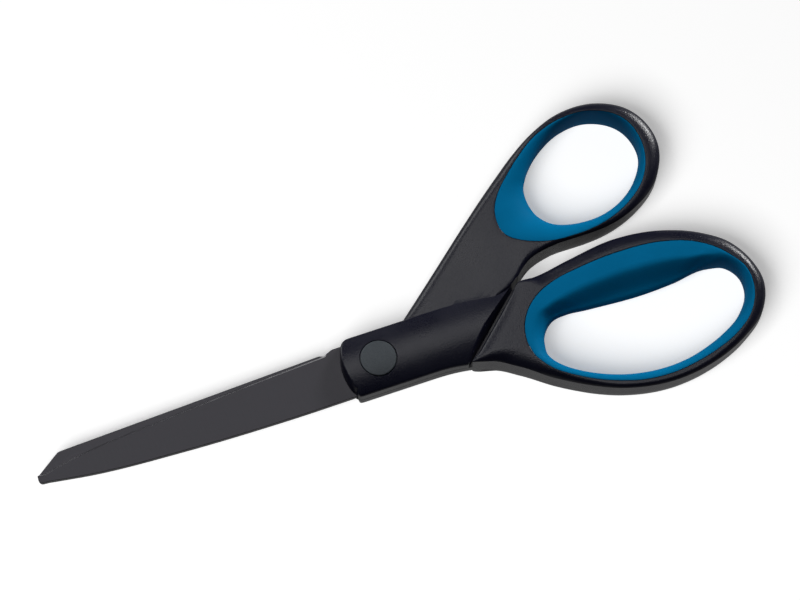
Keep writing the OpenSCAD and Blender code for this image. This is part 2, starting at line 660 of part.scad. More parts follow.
upper_blade();
lower_blade();
thumb_handle();
finger_handle();
thumb_lining();
finger_lining();
pivot_screw();
pivot_bush();
spring_washer();
pivot_nut();
upper_cap();
lower_cap();
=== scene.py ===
"""Office scissors, dressed for the photograph.

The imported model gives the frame. The handles, linings, blades and cover caps are rebuilt here as fine
surfaces, and the pivot's hardware keeps its solids with worked materials. Sizes are in millimetres with
the origin on the pivot's axis at the table: blades along -X, bows along +X, thumb bow to +Y, +Z up.
"""
from __future__ import annotations

import logging
import math
from dataclasses import dataclass, field
from enum import Enum
from typing import Callable, Iterable, Sequence

import bmesh
import bpy
import numpy as np
from mathutils import Matrix, Vector
from mathutils.bvhtree import BVHTree

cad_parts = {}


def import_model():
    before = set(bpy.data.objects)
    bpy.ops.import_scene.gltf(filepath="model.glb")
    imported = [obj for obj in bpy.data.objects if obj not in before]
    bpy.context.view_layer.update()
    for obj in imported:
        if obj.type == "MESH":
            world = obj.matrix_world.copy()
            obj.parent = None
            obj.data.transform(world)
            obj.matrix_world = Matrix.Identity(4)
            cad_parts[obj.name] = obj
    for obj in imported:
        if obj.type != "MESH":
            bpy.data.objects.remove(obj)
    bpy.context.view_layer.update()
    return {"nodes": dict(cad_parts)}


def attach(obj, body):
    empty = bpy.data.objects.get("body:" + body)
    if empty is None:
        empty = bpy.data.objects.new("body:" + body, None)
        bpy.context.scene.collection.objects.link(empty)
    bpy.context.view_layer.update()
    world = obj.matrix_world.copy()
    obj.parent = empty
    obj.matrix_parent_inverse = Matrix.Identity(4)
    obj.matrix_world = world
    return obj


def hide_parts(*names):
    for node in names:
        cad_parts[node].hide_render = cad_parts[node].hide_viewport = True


Array = np.ndarray
MM = 0.001
LOG = logging.getLogger("scissors")
# Tools reach past what they cut by at least a hair, and from under the table, so that no faces coincide.
HAIR = 0.001
UNDER = -1.0
# Shares of the slit between which a hub's end is drawn.
END_REACH = (-0.06, 1.04)
# Points round a circle, levels over a rolled edge, and stations a stretch along a blade's edge.
ROUND = 96
FINE_ROUND = 128
SWING_ROUND = 120
DRILL_ROUND = 64
ROLL_LEVELS = 6
BLADE_STEPS = 16
# Angles in degrees from which an edge stays sharp.
STEEL_CREASE = 20.0
HARD_CREASE = 32.0
SOFT_CREASE = 50.0


class Body(Enum):
    """The two halves that turn against each other."""

    FINGER = "finger_half"
    THUMB = "thumb_half"


class Slot(Enum):
    """The record's material slots."""

    STEEL = "coated_steel"
    HARD = "hard_black"
    SOFT = "soft_blue"
    BRIGHT = "bright_steel"
    NYLON = "nylon"


class Cut(Enum):
    """What a carving tool does to the piece it meets."""

    JOIN = "UNION"
    REMOVE = "DIFFERENCE"


# ---- plane curves ----


def unit(v: Array) -> Array:
    """Vectors scaled to length one."""
    return v / np.linalg.norm(v, axis=-1, keepdims=True)


def left_of(v: Array) -> Array:
    """Plane vectors turned a quarter turn anticlockwise."""
    return np.stack([-v[..., 1], v[..., 0]], axis=-1)


def turned(points: Array, degrees: float) -> Array:
    """Plane points turned anticlockwise about the pivot: x cos a - y sin a, x sin a + y cos a."""
    a = math.radians(degrees)
    return points @ np.array([[math.cos(a), math.sin(a)], [-math.sin(a), math.cos(a)]])


def mix(a: Array | float, b: Array | float, s: Array | float) -> Array:
    """The point at share s of the way from a to b."""
    return np.asarray(a) + (np.asarray(b) - np.asarray(a)) * s


def ramp(value: Array, start: float, over: float) -> Array:
    """0 up to the start, then rising evenly to 1 over a length, and 1 from there."""
    return np.clip((value - start) / over, 0, 1)


def ease(s: Array) -> Array:
    """A share that starts and ends gently: 3 s^2 - 2 s^3."""
    return s * s * (3 - 2 * s)


def quarter(s: Array) -> Array:
    """Depth of a quarter round at share s of its width: 1 - sqrt(1 - (1 - s)^2), s held from 0 to 1."""
    return 1 - np.sqrt(1 - (1 - np.clip(s, 0, 1)) ** 2)


def headings(before: Array, at: Array, after: Array) -> Array:
    """Directions of a smooth curve at each point, the nearer neighbour weighing more.

    Args:
        before: the neighbours before.
        at: the points.
        after: the neighbours after.

    Returns:
        The unit vectors along (at - before) * q/p + (after - at) * p/q, p and q being the two distances.
    """
    p = np.linalg.norm(at - before, axis=-1, keepdims=True)
    q = np.linalg.norm(after - at, axis=-1, keepdims=True)
    return unit((at - before) * q / p + (after - at) * p / q)


def cubic(p: Array, q: Array, tp: Array, tq: Array, steps: int) -> Array:
    """Smooth stretches from each p to its q.

    Args:
        p: where they start, as rows.
        q: where they end.
        tp: their slopes at p.
        tq: their slopes at q.
        steps: stations in each.

    Returns:
        All stations as rows: p (2s^3 - 3s^2 + 1) + q (3s^2 - 2s^3) + tp (s^3 - 2s^2 + s) + tq (s^3 - s^2).
    """
    s = (np.arange(steps) / steps)[None, :, None]
    p, q, tp, tq = (v[:, None, :] for v in (p, q, tp, tq))
    run = (p * (2 * s**3 - 3 * s**2 + 1) + q * (3 * s**2 - 2 * s**3)
           + tp * (s**3 - 2 * s**2 + s) + tq * (s**3 - s**2))
    return run.reshape(-1, p.shape[-1])


def smooth_loop(points: Array, steps: int) -> Array:
    """A closed smooth curve through points, with that many stations from each point to the next."""
    after = np.roll(points, -1, axis=0)
    run = np.linalg.norm(after - points, axis=1, keepdims=True)
    slopes = headings(np.roll(points, 1, axis=0), points, after)
    return cubic(points, after, slopes * run, np.roll(slopes, -1, axis=0) * run, steps)


def smooth_line(points: Array, steps: int) -> Array:
    """An open smooth curve through points, made of the same stretches as smooth_loop."""
    ends = np.concatenate([[2 * points[0] - points[1]], points, [2 * points[-1] - points[-2]]])
    slopes = headings(ends[:-2], ends[1:-1], ends[2:])
    run = np.linalg.norm(np.diff(points, axis=0), axis=1, keepdims=True)
    line = cubic(points[:-1], points[1:], slopes[:-1] * run, slopes[1:] * run, steps)
    return np.concatenate([line, points[-1:]])


def smooth_values(values: Array, steps: int, least: float = 0.0) -> Array:
    """Values drawn out smoothly round a closed row.

    Args:
        values: one value a point.
        steps: stations from each point to the next.
        least: the smallest value let through.

    Returns:
        The cubic through each two values, whose slope at each is half the difference of its neighbours.
    """
    values = values[:, None]
    after = np.roll(values, -1, axis=0)
    slopes = (after - np.roll(values, 1, axis=0)) / 2
    return np.maximum(cubic(values, after, slopes, np.roll(slopes, -1, axis=0), steps)[:, 0], least)


def arc(centre: Sequence[float], radius: float, start: float, end: float, count: int = 12) -> Array:
    """Points at even angles along an arc, from the start angle to the end angle in degrees."""
    a = np.radians(np.linspace(start, end, count + 1))
    return np.asarray(centre) + radius * np.stack([np.cos(a), np.sin(a)], axis=-1)


def circle(radius: float, count: int) -> Array:
    """Points at even angles round a circle about the pivot."""
    return arc((0, 0), radius, 0, 360, count)[:-1]


def even_spacing(outline: Array, pitch: float) -> Array:
    """A closed outline drawn out at an even pitch.

    Args:
        outline: corners in order, the last joined to the first.
        pitch: distance between points, as near as whole steps allow.

    Returns:
        Points on the outline's own straight stretches, measured off along its length.
    """
    closed = np.concatenate([outline, outline[:1]])
    length = np.concatenate([[0], np.cumsum(np.linalg.norm(np.diff(closed, axis=0), axis=1))])
    at = np.linspace(0, length[-1], int(round(length[-1] / pitch)), endpoint=False)
    return np.stack([np.interp(at, length, closed[:, k]) for k in (0, 1)], axis=-1)


def inward(outline: Array) -> Array:
    """Unit normals of an anticlockwise closed outline, pointing into it."""
    return left_of(unit(np.roll(outline, -1, axis=0) - np.roll(outline, 1, axis=0)))


def to_segment(points: Array, start: Array, end: Array) -> Array:
    """Distances of points to straight segments, row by row."""
    along = end - start
    length = np.maximum(np.einsum("ij,ij->i", along, along), 1e-12)
    share = np.einsum("ij,ij->i", points - start, along) / length
    return np.linalg.norm(points - start - along * np.clip(share, 0, 1)[:, None], axis=1)


def eased(outline: Array, rounds: int) -> Array:
    """An evenly spaced closed outline after rounds of (before + 2 * point + after) / 4."""
    for _ in range(rounds):
        outline = (np.roll(outline, 1, axis=0) + 2 * outline + np.roll(outline, -1, axis=0)) / 4
    return outline


# ---- meshes ----


def lift(plan: Array, height: Array | float) -> Array:
    """Plane points given a height."""
    high = np.broadcast_to(np.asarray(height, float), plan.shape[:-1])
    return np.concatenate([plan, high[..., None]], axis=-1)


def ring_quads(sections: int, points: int) -> Array:
    """Faces of a closed ring of closed sections, as rows of four vertex numbers."""
    i, j = np.mgrid[:sections, :points]
    k, n = (i + 1) % sections, (j + 1) % points
    return np.stack([i * points + j, k * points + j, k * points + n, i * points + n], axis=-1).reshape(-1, 4)


def tube_quads(levels: int, points: int) -> Array:
    """Faces between closed levels that lie one on another: those of a ring without its last stretch."""
    return ring_quads(levels, points)[:(levels - 1) * points, [0, 3, 2, 1]]


@dataclass
class Shell:
    """A closed surface in millimetres.

    Attributes:
        points: rows of x, y and z.
        quads: rows of four vertex numbers.
        lids: vertex numbers of each flat end face.
    """

    points: Array
    quads: Array
    lids: list[Array] = field(default_factory=list)

    def volume(self) -> float:
        """Volume inside, negative where the faces look inwards: the sum of each corner fan's tetrahedra."""
        p = self.points
        a, b, c, d = (p[self.quads[:, k]] for k in range(4))
        total = np.einsum("ij,ij->", a, np.cross(b, c)) + np.einsum("ij,ij->", a, np.cross(c, d))
        for lid in self.lids:
            total += np.einsum("ij,ij->", np.broadcast_to(p[lid[0]], (len(lid) - 2, 3)),
                               np.cross(p[lid[1:-1]], p[lid[2:]]))
        return float(total) / 6

    def mesh(self, name: str) -> bpy.types.Mesh:
        """The surface as a mesh in metres, with its faces looking outwards."""
        flip = -1 if self.volume() < 0 else 1
        faces = self.quads[:, ::flip].tolist() + [lid[::flip].tolist() for lid in self.lids]
        made = bpy.data.meshes.new(name)
        made.from_pydata((self.points * MM).tolist(), [], faces)
        made.update()
        return made


def stacked(levels: Sequence[Array] | Array) -> Shell:
    """A closed shell from levels that each go once round, with a flat lid at either end."""
    levels = np.stack(levels)
    count, points = levels.shape[:2]
    last = (count - 1) * points
    return Shell(levels.reshape(-1, 3), tube_quads(count, points),
                 [np.arange(points)[::-1], last + np.arange(points)])


def ringed(sections: Array) -> Shell:
    """A closed shell from closed sections carried round a loop."""
    return Shell(sections.reshape(-1, 3), ring_quads(*sections.shape[:2]))


def prism(plan: Array, low: float, high: float) -> Shell:
    """A plan drawn up from one height to another."""
    return stacked([lift(plan, low), lift(plan, high)])


def new_object(name: str, data: bpy.types.ID) -> bpy.types.Object:
    """An object at the origin, linked to the scene."""
    made = bpy.data.objects.new(name, data)
    bpy.context.scene.collection.objects.link(made)
    return made


def carve(piece: bpy.types.Object, cut: Cut, *tools: Shell) -> None:
    """Join shells to a piece, or take their rooms out of it, and keep the result as the piece's mesh.

    Args:
        piece: the object that is carved.
        cut: which of the two.
        tools: the shells, in turn.
    """
    for tool in tools:
        cutter = new_object("tool", tool.mesh("tool"))
        step = piece.modifiers.new("carve", "BOOLEAN")
        step.operation = cut.value
        step.solver = "MANIFOLD"
        step.object = cutter
        bpy.context.view_layer.update()
        done = bpy.data.meshes.new_from_object(piece.evaluated_get(bpy.context.evaluated_depsgraph_get()))
        piece.modifiers.clear()
        old, piece.data = piece.data, done
        done.name = piece.name
        bpy.data.meshes.remove(old)
        bpy.data.objects.remove(cutter)


def shade(piece: bpy.types.Object, crease: float) -> None:
    """Merge doubled vertices and shade smoothly, apart from edges sharper than the crease in degrees."""
    work = bmesh.new()
    work.from_mesh(piece.data)
    bmesh.ops.remove_doubles(work, verts=work.verts, dist=2e-7)
    bmesh.ops.dissolve_degenerate(work, dist=1e-7, edges=work.edges)
    work.to_mesh(piece.data)
    work.free()
    piece.data.shade_smooth()
    piece.data.set_sharp_from_angle(angle=math.radians(crease))


# ---- the bows ----

# Columns of the bows' tables, after the hole's x and y.
PAD, RIM, CROWN, FOOT = range(2, 6)

# Stations across a section of the hard rim, as shares of the width of what they cross.
FILLET_STATIONS = np.array([0.0, 0.02, 0.05, 0.1, 0.16, 0.23, 0.31, 0.4, 0.5, 0.6, 0.7, 0.8, 0.9, 1.0])
FACE_STATIONS = np.array([0.08, 0.25, 0.45, 0.65, 0.85, 0.96, 1.0])
LIP_STATIONS = np.array([0.6, 0.3, 0.1, 0.0])
WALL_STATIONS = np.array([0.03, 0.3, 0.6, 0.9])
FOOT_STATIONS = np.array([0, 0.01, 0.04, 0.09, 0.16, 0.25, 0.37, 0.52, 0.74, 1.0])
UNDERSIDE_STATIONS = np.array([0.08, 0.35, 0.65, 1.0])


@dataclass
class Layout:
    """Sizes that several pieces share, in millimetres and degrees."""

    height: float = 11.0
    blade: float = 1.8
    blade_gap: float = 0.1
    fit: float = 0.05
    swing_gap: float = 0.3
    cap_radius: float = 5.1
    cap_gap: float = 0.15
    cap_thick: float = 0.9
    well_radius: float = 4.65
    tang_width: float = 7.0
    tang_length: float = 38.0
    barrel_front: float = 11.1
    upper_tang: float = 24.0
    lower_tang: float = -11.0
    hub_width: float = 8.6
    hub_turn: float = -2.0
    slit_from: tuple[float, float] = (23.2, -10.4)
    slit_run: tuple[float, float] = (22.1, 19.0)
    slit_gap: float = 1.1
    slit_bulge: float = 1.2

    @property
    def mid(self) -> float:
        """Height of the parting plane."""
        return self.height / 2

    @property
    def slit_to(self) -> Array:
        """The slit's end at the crotch of the bows."""
        return np.add(self.slit_from, self.slit_run)

    @property
    def slit_off(self) -> Array:
        """Unit normal of the slit, towards the thumb's side."""
        return left_of(unit(np.array(self.slit_run)))

    def along_slit(self, s: Array, off: float, bulge: float = 0.0) -> Array:
        """Points beside the slit line, bulged by a parabola.

        Args:
            s: share of the way from the hub's side to the crotch.
            off: distance from the line, towards the thumb's side.
            bulge: the parabola's height.

        Returns:
            from + s * run + normal * (off + 4 * bulge * s * (1 - s)).
        """
        s = np.asarray(s, float)[..., None]
        return mix(self.slit_from, self.slit_to, s) + self.slit_off * (off + bulge * 4 * s * (1 - s))

    def barrel_end(self, low: float, high: float) -> Array:
        """The barrel's end between two shares of the slit, hollowed by the bulge."""
        return self.along_slit(np.linspace(low, high, 60), 0.0, self.slit_bulge)


@dataclass
class Bow:
    """A bow of a handle: a hard rim around a soft lining around a hole.

    Each row of the table is a station, anticlockwise from the far end: the hole's x and y as shares of
    its half sizes, the pad's share in the lining's width, the extra rim's share in the rim's width, the
    width of the rounded outer edge, and the share of the tall foot under it.
    """

    layout: Layout
    centre: tuple[float, float]
    hole_size: tuple[float, float]
    lining_width: float
    pad_width: float
    rim_width: float
    rim_extra: float
    table: Array
    skin: float = 1.6
    edge_drop: float = 1.8
    edge_angle: float = 62.0
    foot_round: float = 1.0
    foot_far: float = 5.0
    lip: float = 0.16
    roundness: float = 2.2
    dish: float = 0.0
    dish_from: float = 0.42
    lip_from: float = 0.88
    pad_from: float = 0.2
    core_back: float = 0.0
    steps: int = 22

    def padded(self) -> Array:
        """How much of the dished pad each section carries, from 0 to 1."""
        share = ramp(smooth_values(self.table[:, PAD], self.steps), self.pad_from, 0.5)
        return share if self.dish > 0 else 0 * share

    def around_rows(self) -> tuple[Array, Array, Array]:
        """The points of the hole, of the seat where lining and rim meet, and of the plain rim.

        Each is the one before moved outwards, along the line from the hole's centre, by the width between.
        """
        reach = self.table[:, :2] * np.array(self.hole_size) / 2
        hole = np.array(self.centre) + reach
        seat = hole + unit(reach) * (self.lining_width + self.pad_width * self.table[:, [PAD]])
        return hole, seat, seat + unit(reach) * (self.rim_width + self.rim_extra * self.table[:, [RIM]])

    def outline_rows(self) -> Array:
        """The handle's outer points."""
        return self.around_rows()[2]

    def rise(self, plan: Array) -> Array:
        """Height of the flat face over the parting plane at plane points."""
        return np.full(plan.shape[:-1], self.layout.mid)

    def slope(self, plan: Array) -> Array:
        """How far the face falls away at plane points, apart from its fillet."""
        return np.zeros(plan.shape[:-1])

    def core(self, edge: Array, tip: Array, half: Array) -> Array:
        """Half ellipses from edge to tip, from below the parting plane to above it."""
        turn = np.radians(np.linspace(-90, 90, 11))
        plan = mix(edge[:, None, :], tip[:, None, :], np.cos(turn)[None, :, None])
        return lift(plan, self.layout.mid + half[:, None] * np.sin(turn))

    def hard_part(self) -> Shell:
        """The hard rim with its core.

        Returns:
            A ring whose sections run from the lining's seat over a small lip, the flat face, a fillet that
            stops at a crease, the upright wall, a rounded foot and the flat underside, and back over
            the core, an ellipse one skin inside the lining.
        """
        outline = smooth_loop(self.outline_rows(), self.steps)
        hole, seat = (smooth_loop(rows, self.steps) for rows in self.around_rows()[:2])
        width = smooth_values(self.table[:, CROWN], self.steps, 0.35)
        mid, lip = self.layout.mid, self.lip
        span = np.linalg.norm(outline - seat, axis=1)
        out = (outline - seat) / span[:, None]

        def section(reach: Array, height: Callable[[Array, Array], Array]) -> Array:
            """Points at distances from the outline towards the seat, with heights from place and reach."""
            plan = outline[:, None, :] - out[:, None, :] * reach[..., None]
            return lift(plan, height(plan, reach))

        def face(plan: Array, reach: Array) -> Array:
            """The flat face with its fillet, and the lip beside the seat."""
            drop = self.slope(plan) + self.fillet_drop(plan, outline, width)
            return mid + self.rise(plan) - drop - lip * quarter((span[:, None] - reach) / lip)

        farness = np.clip(smooth_values(self.table[:, FOOT], self.steps), 0, 1)
        high = mix(self.foot_round, self.foot_far, farness)
        broad = np.minimum(np.where(high > self.foot_round, 0.8 * high, high), 0.8 * (span - lip))

        def foot(plan: Array, reach: Array) -> Array:
            """The flat underside with its rounded foot, a quarter of an ellipse."""
            return mid - self.rise(plan) + high[:, None] * quarter(reach / broad[:, None])

        fine = np.minimum(1.35 * width, 0.93 * (span - lip))[:, None] * FILLET_STATIONS
        rest = mix(fine[:, -1:], (span - lip)[:, None], FACE_STATIONS)
        edge = span[:, None] - lip * LIP_STATIONS
        top = section(np.concatenate([fine, rest, edge], axis=1)[:, ::-1], face)
        low = broad[:, None] * FOOT_STATIONS
        far = mix(low[:, -1:], span[:, None], UNDERSIDE_STATIONS)
        under = section(np.concatenate([low, far], axis=1), foot)
        wall = lift(np.broadcast_to(outline[:, None, :], (len(outline), len(WALL_STATIONS), 2)),
                    mix(top[:, -1:, 2], under[:, :1, 2], WALL_STATIONS))
        skin = self.skin + self.layout.fit
        tip = hole + unit(seat - hole) * (skin + self.core_back * self.padded()[:, None])
        core = self.core(seat, tip, self.rise(seat) - skin)
        return ringed(np.concatenate([top, wall, under, core], axis=1))

    def fillet_drop(self, plan: Array, outline: Array, width: Array) -> Array:
        """How far the face has dropped at plane points.

        Args:
            plan: points of the face.
            outline: the handle's outline.
            width: width of the fillet at each outline point.

        Returns:
            With x the distance to the outline as a share of the nearest width, the angle t is given by
            sin t = (1 - x) sin c, and the drop is h (1 - cos t) / (1 - cos c), c being the angle at the
            crease and h the fillet's height.
        """
        flat = plan.reshape(-1, 2)
        before, after = np.roll(outline, 1, axis=0), np.roll(outline, -1, axis=0)
        near = np.concatenate([np.argmin(((part[:, None] - outline[None]) ** 2).sum(-1), axis=1)
                               for part in np.array_split(flat, 16)])
        distance = np.minimum(to_segment(flat, before[near], outline[near]),
                              to_segment(flat, outline[near], after[near]))
        limit = math.radians(self.edge_angle)
        tilt = np.arcsin((1 - np.clip(distance / width[near], 0, 1)) * math.sin(limit))
        height = np.minimum(self.edge_drop, 0.7 * width[near])
        return (height * (1 - np.cos(tilt)) / (1 - math.cos(limit))).reshape(plan.shape[:-1])

    def soft_part(self) -> Shell:
        """The soft lining.

        Returns:
            A ring whose sections roll from the seat into the hole and back to the underside along
            |x/a|^q + |z/b|^q = 1, q being the roundness, and close over the core one skin inside. With s
            = x/a, the pad falls by dish * (3t^2 - 2t^3), t = (s - 0.42) / 0.5, and ends in a round lip.
        """
        hole, seat = (smooth_loop(rows, self.steps) for rows in self.around_rows()[:2])
        into = unit(hole - seat)
        edge = seat + into * self.layout.fit
        padded = self.padded()[:, None]
        land = self.rise(seat)[:, None]
        turn = np.radians(np.linspace(86, -86, 35))
        power = 2 / self.roundness
        reach = (np.cos(turn) ** power)[None, :]
        lip = np.sqrt(1 - ramp(reach, self.lip_from, 1 - self.lip_from) ** 2)
        dished = (1 - self.dish * ease(ramp(reach, self.dish_from, 0.5))) * lip
        height = np.sign(turn) * mix(np.abs(np.sin(turn)) ** power, dished, padded)
        plan = mix(edge[:, None, :], hole[:, None, :], reach[..., None])
        roll = lift(plan, self.layout.mid + land * height)
        shoulder = lift(edge[:, None, :] + into[:, None, :] * np.array([[0.0], [0.05]]),
                        self.layout.mid + land - np.array([0.16, 0.05]))
        base = shoulder[:, ::-1] * [1, 1, -1] + [0, 0, 2 * self.layout.mid]
        inner = self.core(edge, hole - into * (self.skin + self.core_back * padded), land[:, 0] - self.skin)
        return ringed(np.concatenate([shoulder, roll, base, inner], axis=1))


THUMB_TABLE = np.array([
    [1.007, 0, -0.058, 1.237, 4.2, 1],
    [0.901, 0.632, -0.089, 0.958, 3.6, 1],
    [0.488, 1.02, -0.169, 0.668, 2.8, 1],
    [0, 0.991, -0.05, 0.405, 2, 1],
    [-0.377, 0.792, 0.087, 0.19, 1.4, 1],
    [-0.704, 0.496, 0.217, 0.434, 2.1, 1],
    [-0.859, 0.279, 0.382, 0.79, 2.6, 0.8],
    [-0.952, 0.08, 0.622, 0.15, 2.4, 0.3],
    [-0.98, -0.12, 0.896, 0.15, 2.4, 0],
    [-0.974, -0.28, 1.03, 0.15, 2.2, 0],
    [-0.959, -0.38, 1.073, 0.15, 0.4, 0],
    [-0.929, -0.5, 1.024, 0.15, 0.4, 0],
    [-0.871, -0.623, 0.877, 0.15, 0.4, 0],
    [-0.781, -0.751, 0.682, 0.15, 0.9, 0],
    [-0.685, -0.834, 0.56, 0.15, 1.2, 0.1],
    [-0.571, -0.896, 0.45, 0.089, 1.3, 0.4],
    [-0.447, -0.943, 0.343, -0.016, 1.3, 0.7],
    [-0.22, -0.989, 0.225, 0.006, 1.3, 0.9],
    [0, -0.991, 0.147, 0.152, 1.4, 1],
    [0.408, -0.854, 0.081, 0.455, 1.7, 1],
    [0.763, -0.534, 0.066, 0.884, 3.1, 1]])

FINGER_TABLE = np.array([
    [0.999, 0, -0.01, 0.681, 3.1, 1],
    [1.001, 0.389, -0.047, 0.563, 2.8, 1],
    [0.913, 0.678, -0.015, 0.817, 3.4, 1],
    [0.727, 0.774, 0.351, 0.897, 3.6, 1],
    [0.39, 0.705, 1.023, 0.844, 3.5, 1],
    [0.172, 0.692, 1.109, 0.991, 3.8, 1],
    [0, 0.703, 1.061, 1.173, 4.1, 1],
    [-0.189, 0.738, 1.173, 1.044, 3.8, 1],
    [-0.345, 0.779, 1.26, 1.345, 4.6, 0.7],
    [-0.496, 0.82, 1.16, 0.15, 1.6, 0.3],
    [-0.671, 0.875, 0.839, 0.15, 0.7, 0.2],
    [-0.84, 0.837, 0.519, 0.15, 0.55, 0.2],
    [-0.923, 0.698, 0.403, 0.15, 0.5, 0.2],
    [-0.981, 0.496, 0.304, 0.15, 0.5, 0.3],
    [-0.995, 0.374, 0.271, 0.15, 0.5, 0.36],
    [-1.004, 0.269, 0.216, 0.15, 0.45, 0.36],
    [-1.005, 0.15, 0.179, 0.15, 0.8, 0.36],
    [-0.979, 0, 0.148, 0.15, 3.2, 0.3],
    [-0.888, -0.249, 0.15, 0.15, 4.8, 0.24],
    [-0.767, -0.463, 0.12, 0.15, 2.4, 0.3],
    [-0.557, -0.728, 0.103, 0.241, 1.5, 0.5],
    [-0.388, -0.879, 0.086, 0.251, 1.2, 0.85],
    [-0.245, -0.964, 0.091, 0.176, 1.2, 1],
    [0, -1.039, 0.077, 0.233, 1.2, 1],
    [0.257, -1.014, 0.08, 0.403, 1.3, 1],
    [0.414, -0.937, 0.126, 0.455, 1.5, 1],
    [0.608, -0.792, 0.18, 0.442, 1.7, 1],
    [0.837, -0.51, 0.128, 0.648, 2.8, 1]])


@dataclass
class ThumbBow(Bow):
    """The thumb's bow, with the shank that rises to it from the barrel."""

    shank_rise: float = 3.2
    shank_slope: float = 0.76
    shank_offset: float = 0.6
    shank_root: float = 5.0
    rise_power: float = 1.4
    rise_ease: float = 0.4

    def outline_rows(self) -> Array:
        """The rim's points, apart from rows 7 to 14, which follow the shank and the slit."""
        rows = super().outline_rows()
        x = mix(rows[6, 0], self.shank_root, np.array([0.3, 0.62, 0.94, 1.0]))
        foot = np.array([1, -0.09]) * self.layout.barrel_front
        slit, gap = self.layout.slit_to, self.layout.slit_gap
        rows[7:11] = np.stack([x, self.shank_offset + x * self.shank_slope], axis=-1)
        rows[11] = foot
        rows[12] = mix(foot, slit, 0.6) - np.array([0, gap])
        rows[13] = slit - np.array([0.82, 0.73]) * gap
        rows[14] = slit + np.array([3.33, 2.52]) * gap
        return rows

    def rise(self, plan: Array) -> Array:
        """Height over the parting plane, growing with the distance from the pivot up to half the body."""
        near = self.layout.barrel_front
        far = math.hypot(*self.centre) - self.hole_size[0] / 2 - self.pad_width
        s = ramp(np.linalg.norm(plan, axis=-1), near, far - near) ** self.rise_power
        return mix(self.shank_rise, self.layout.mid, mix(s, ease(s), self.rise_ease))


@dataclass
class FingerBow(Bow):
    """The fingers' bow, with the shoulder along the slit and the side that runs on from the hub."""

    crown_reach: float = 3.4
    crown_fall: float = 0.9

    def slope(self, plan: Array) -> Array:
        """Fall of the face towards the slit: with d the distance from it, fall * (1 - d / reach)^2."""
        run = np.array(self.layout.slit_run)
        from_start = plan - self.layout.slit_from
        away = -from_start @ self.layout.slit_off - self.layout.slit_gap
        place = from_start @ unit(run) / np.linalg.norm(run)
        fade = ramp(-place, -1.05, 0.45) * ramp(place, -0.1, 0.3)
        return self.crown_fall * np.clip(1 - away / self.crown_reach, 0, 1) ** 2 * ease(fade)

    def outline_rows(self) -> Array:
        """The rim's points, apart from rows 9 to 19, which follow the slit and the hub's side."""
        rows = super().outline_rows()
        gap = self.layout.slit_gap
        side = self.layout.slit_from + np.array([1.7, -0.36]) * gap
        rows[10:15] = self.layout.along_slit(np.array([0.95, 0.8, 0.58, 0.36, 0.16]), -gap)
        rows[9] = mix(rows[10], rows[8], 0.51)
        rows[15] = side + np.array([-0.5, 0.12]) * gap
        rows[16] = side
        rows[17] = side + np.array([3.6, -0.84]) * gap
        rows[18] = mix(side, rows[20], 0.36) + np.array([0.54, 1.22]) * gap
        rows[19] = mix(side, rows[20], 0.68) + np.array([0.1, 0.08]) * gap
        return rows


# ---- the half round hub ----


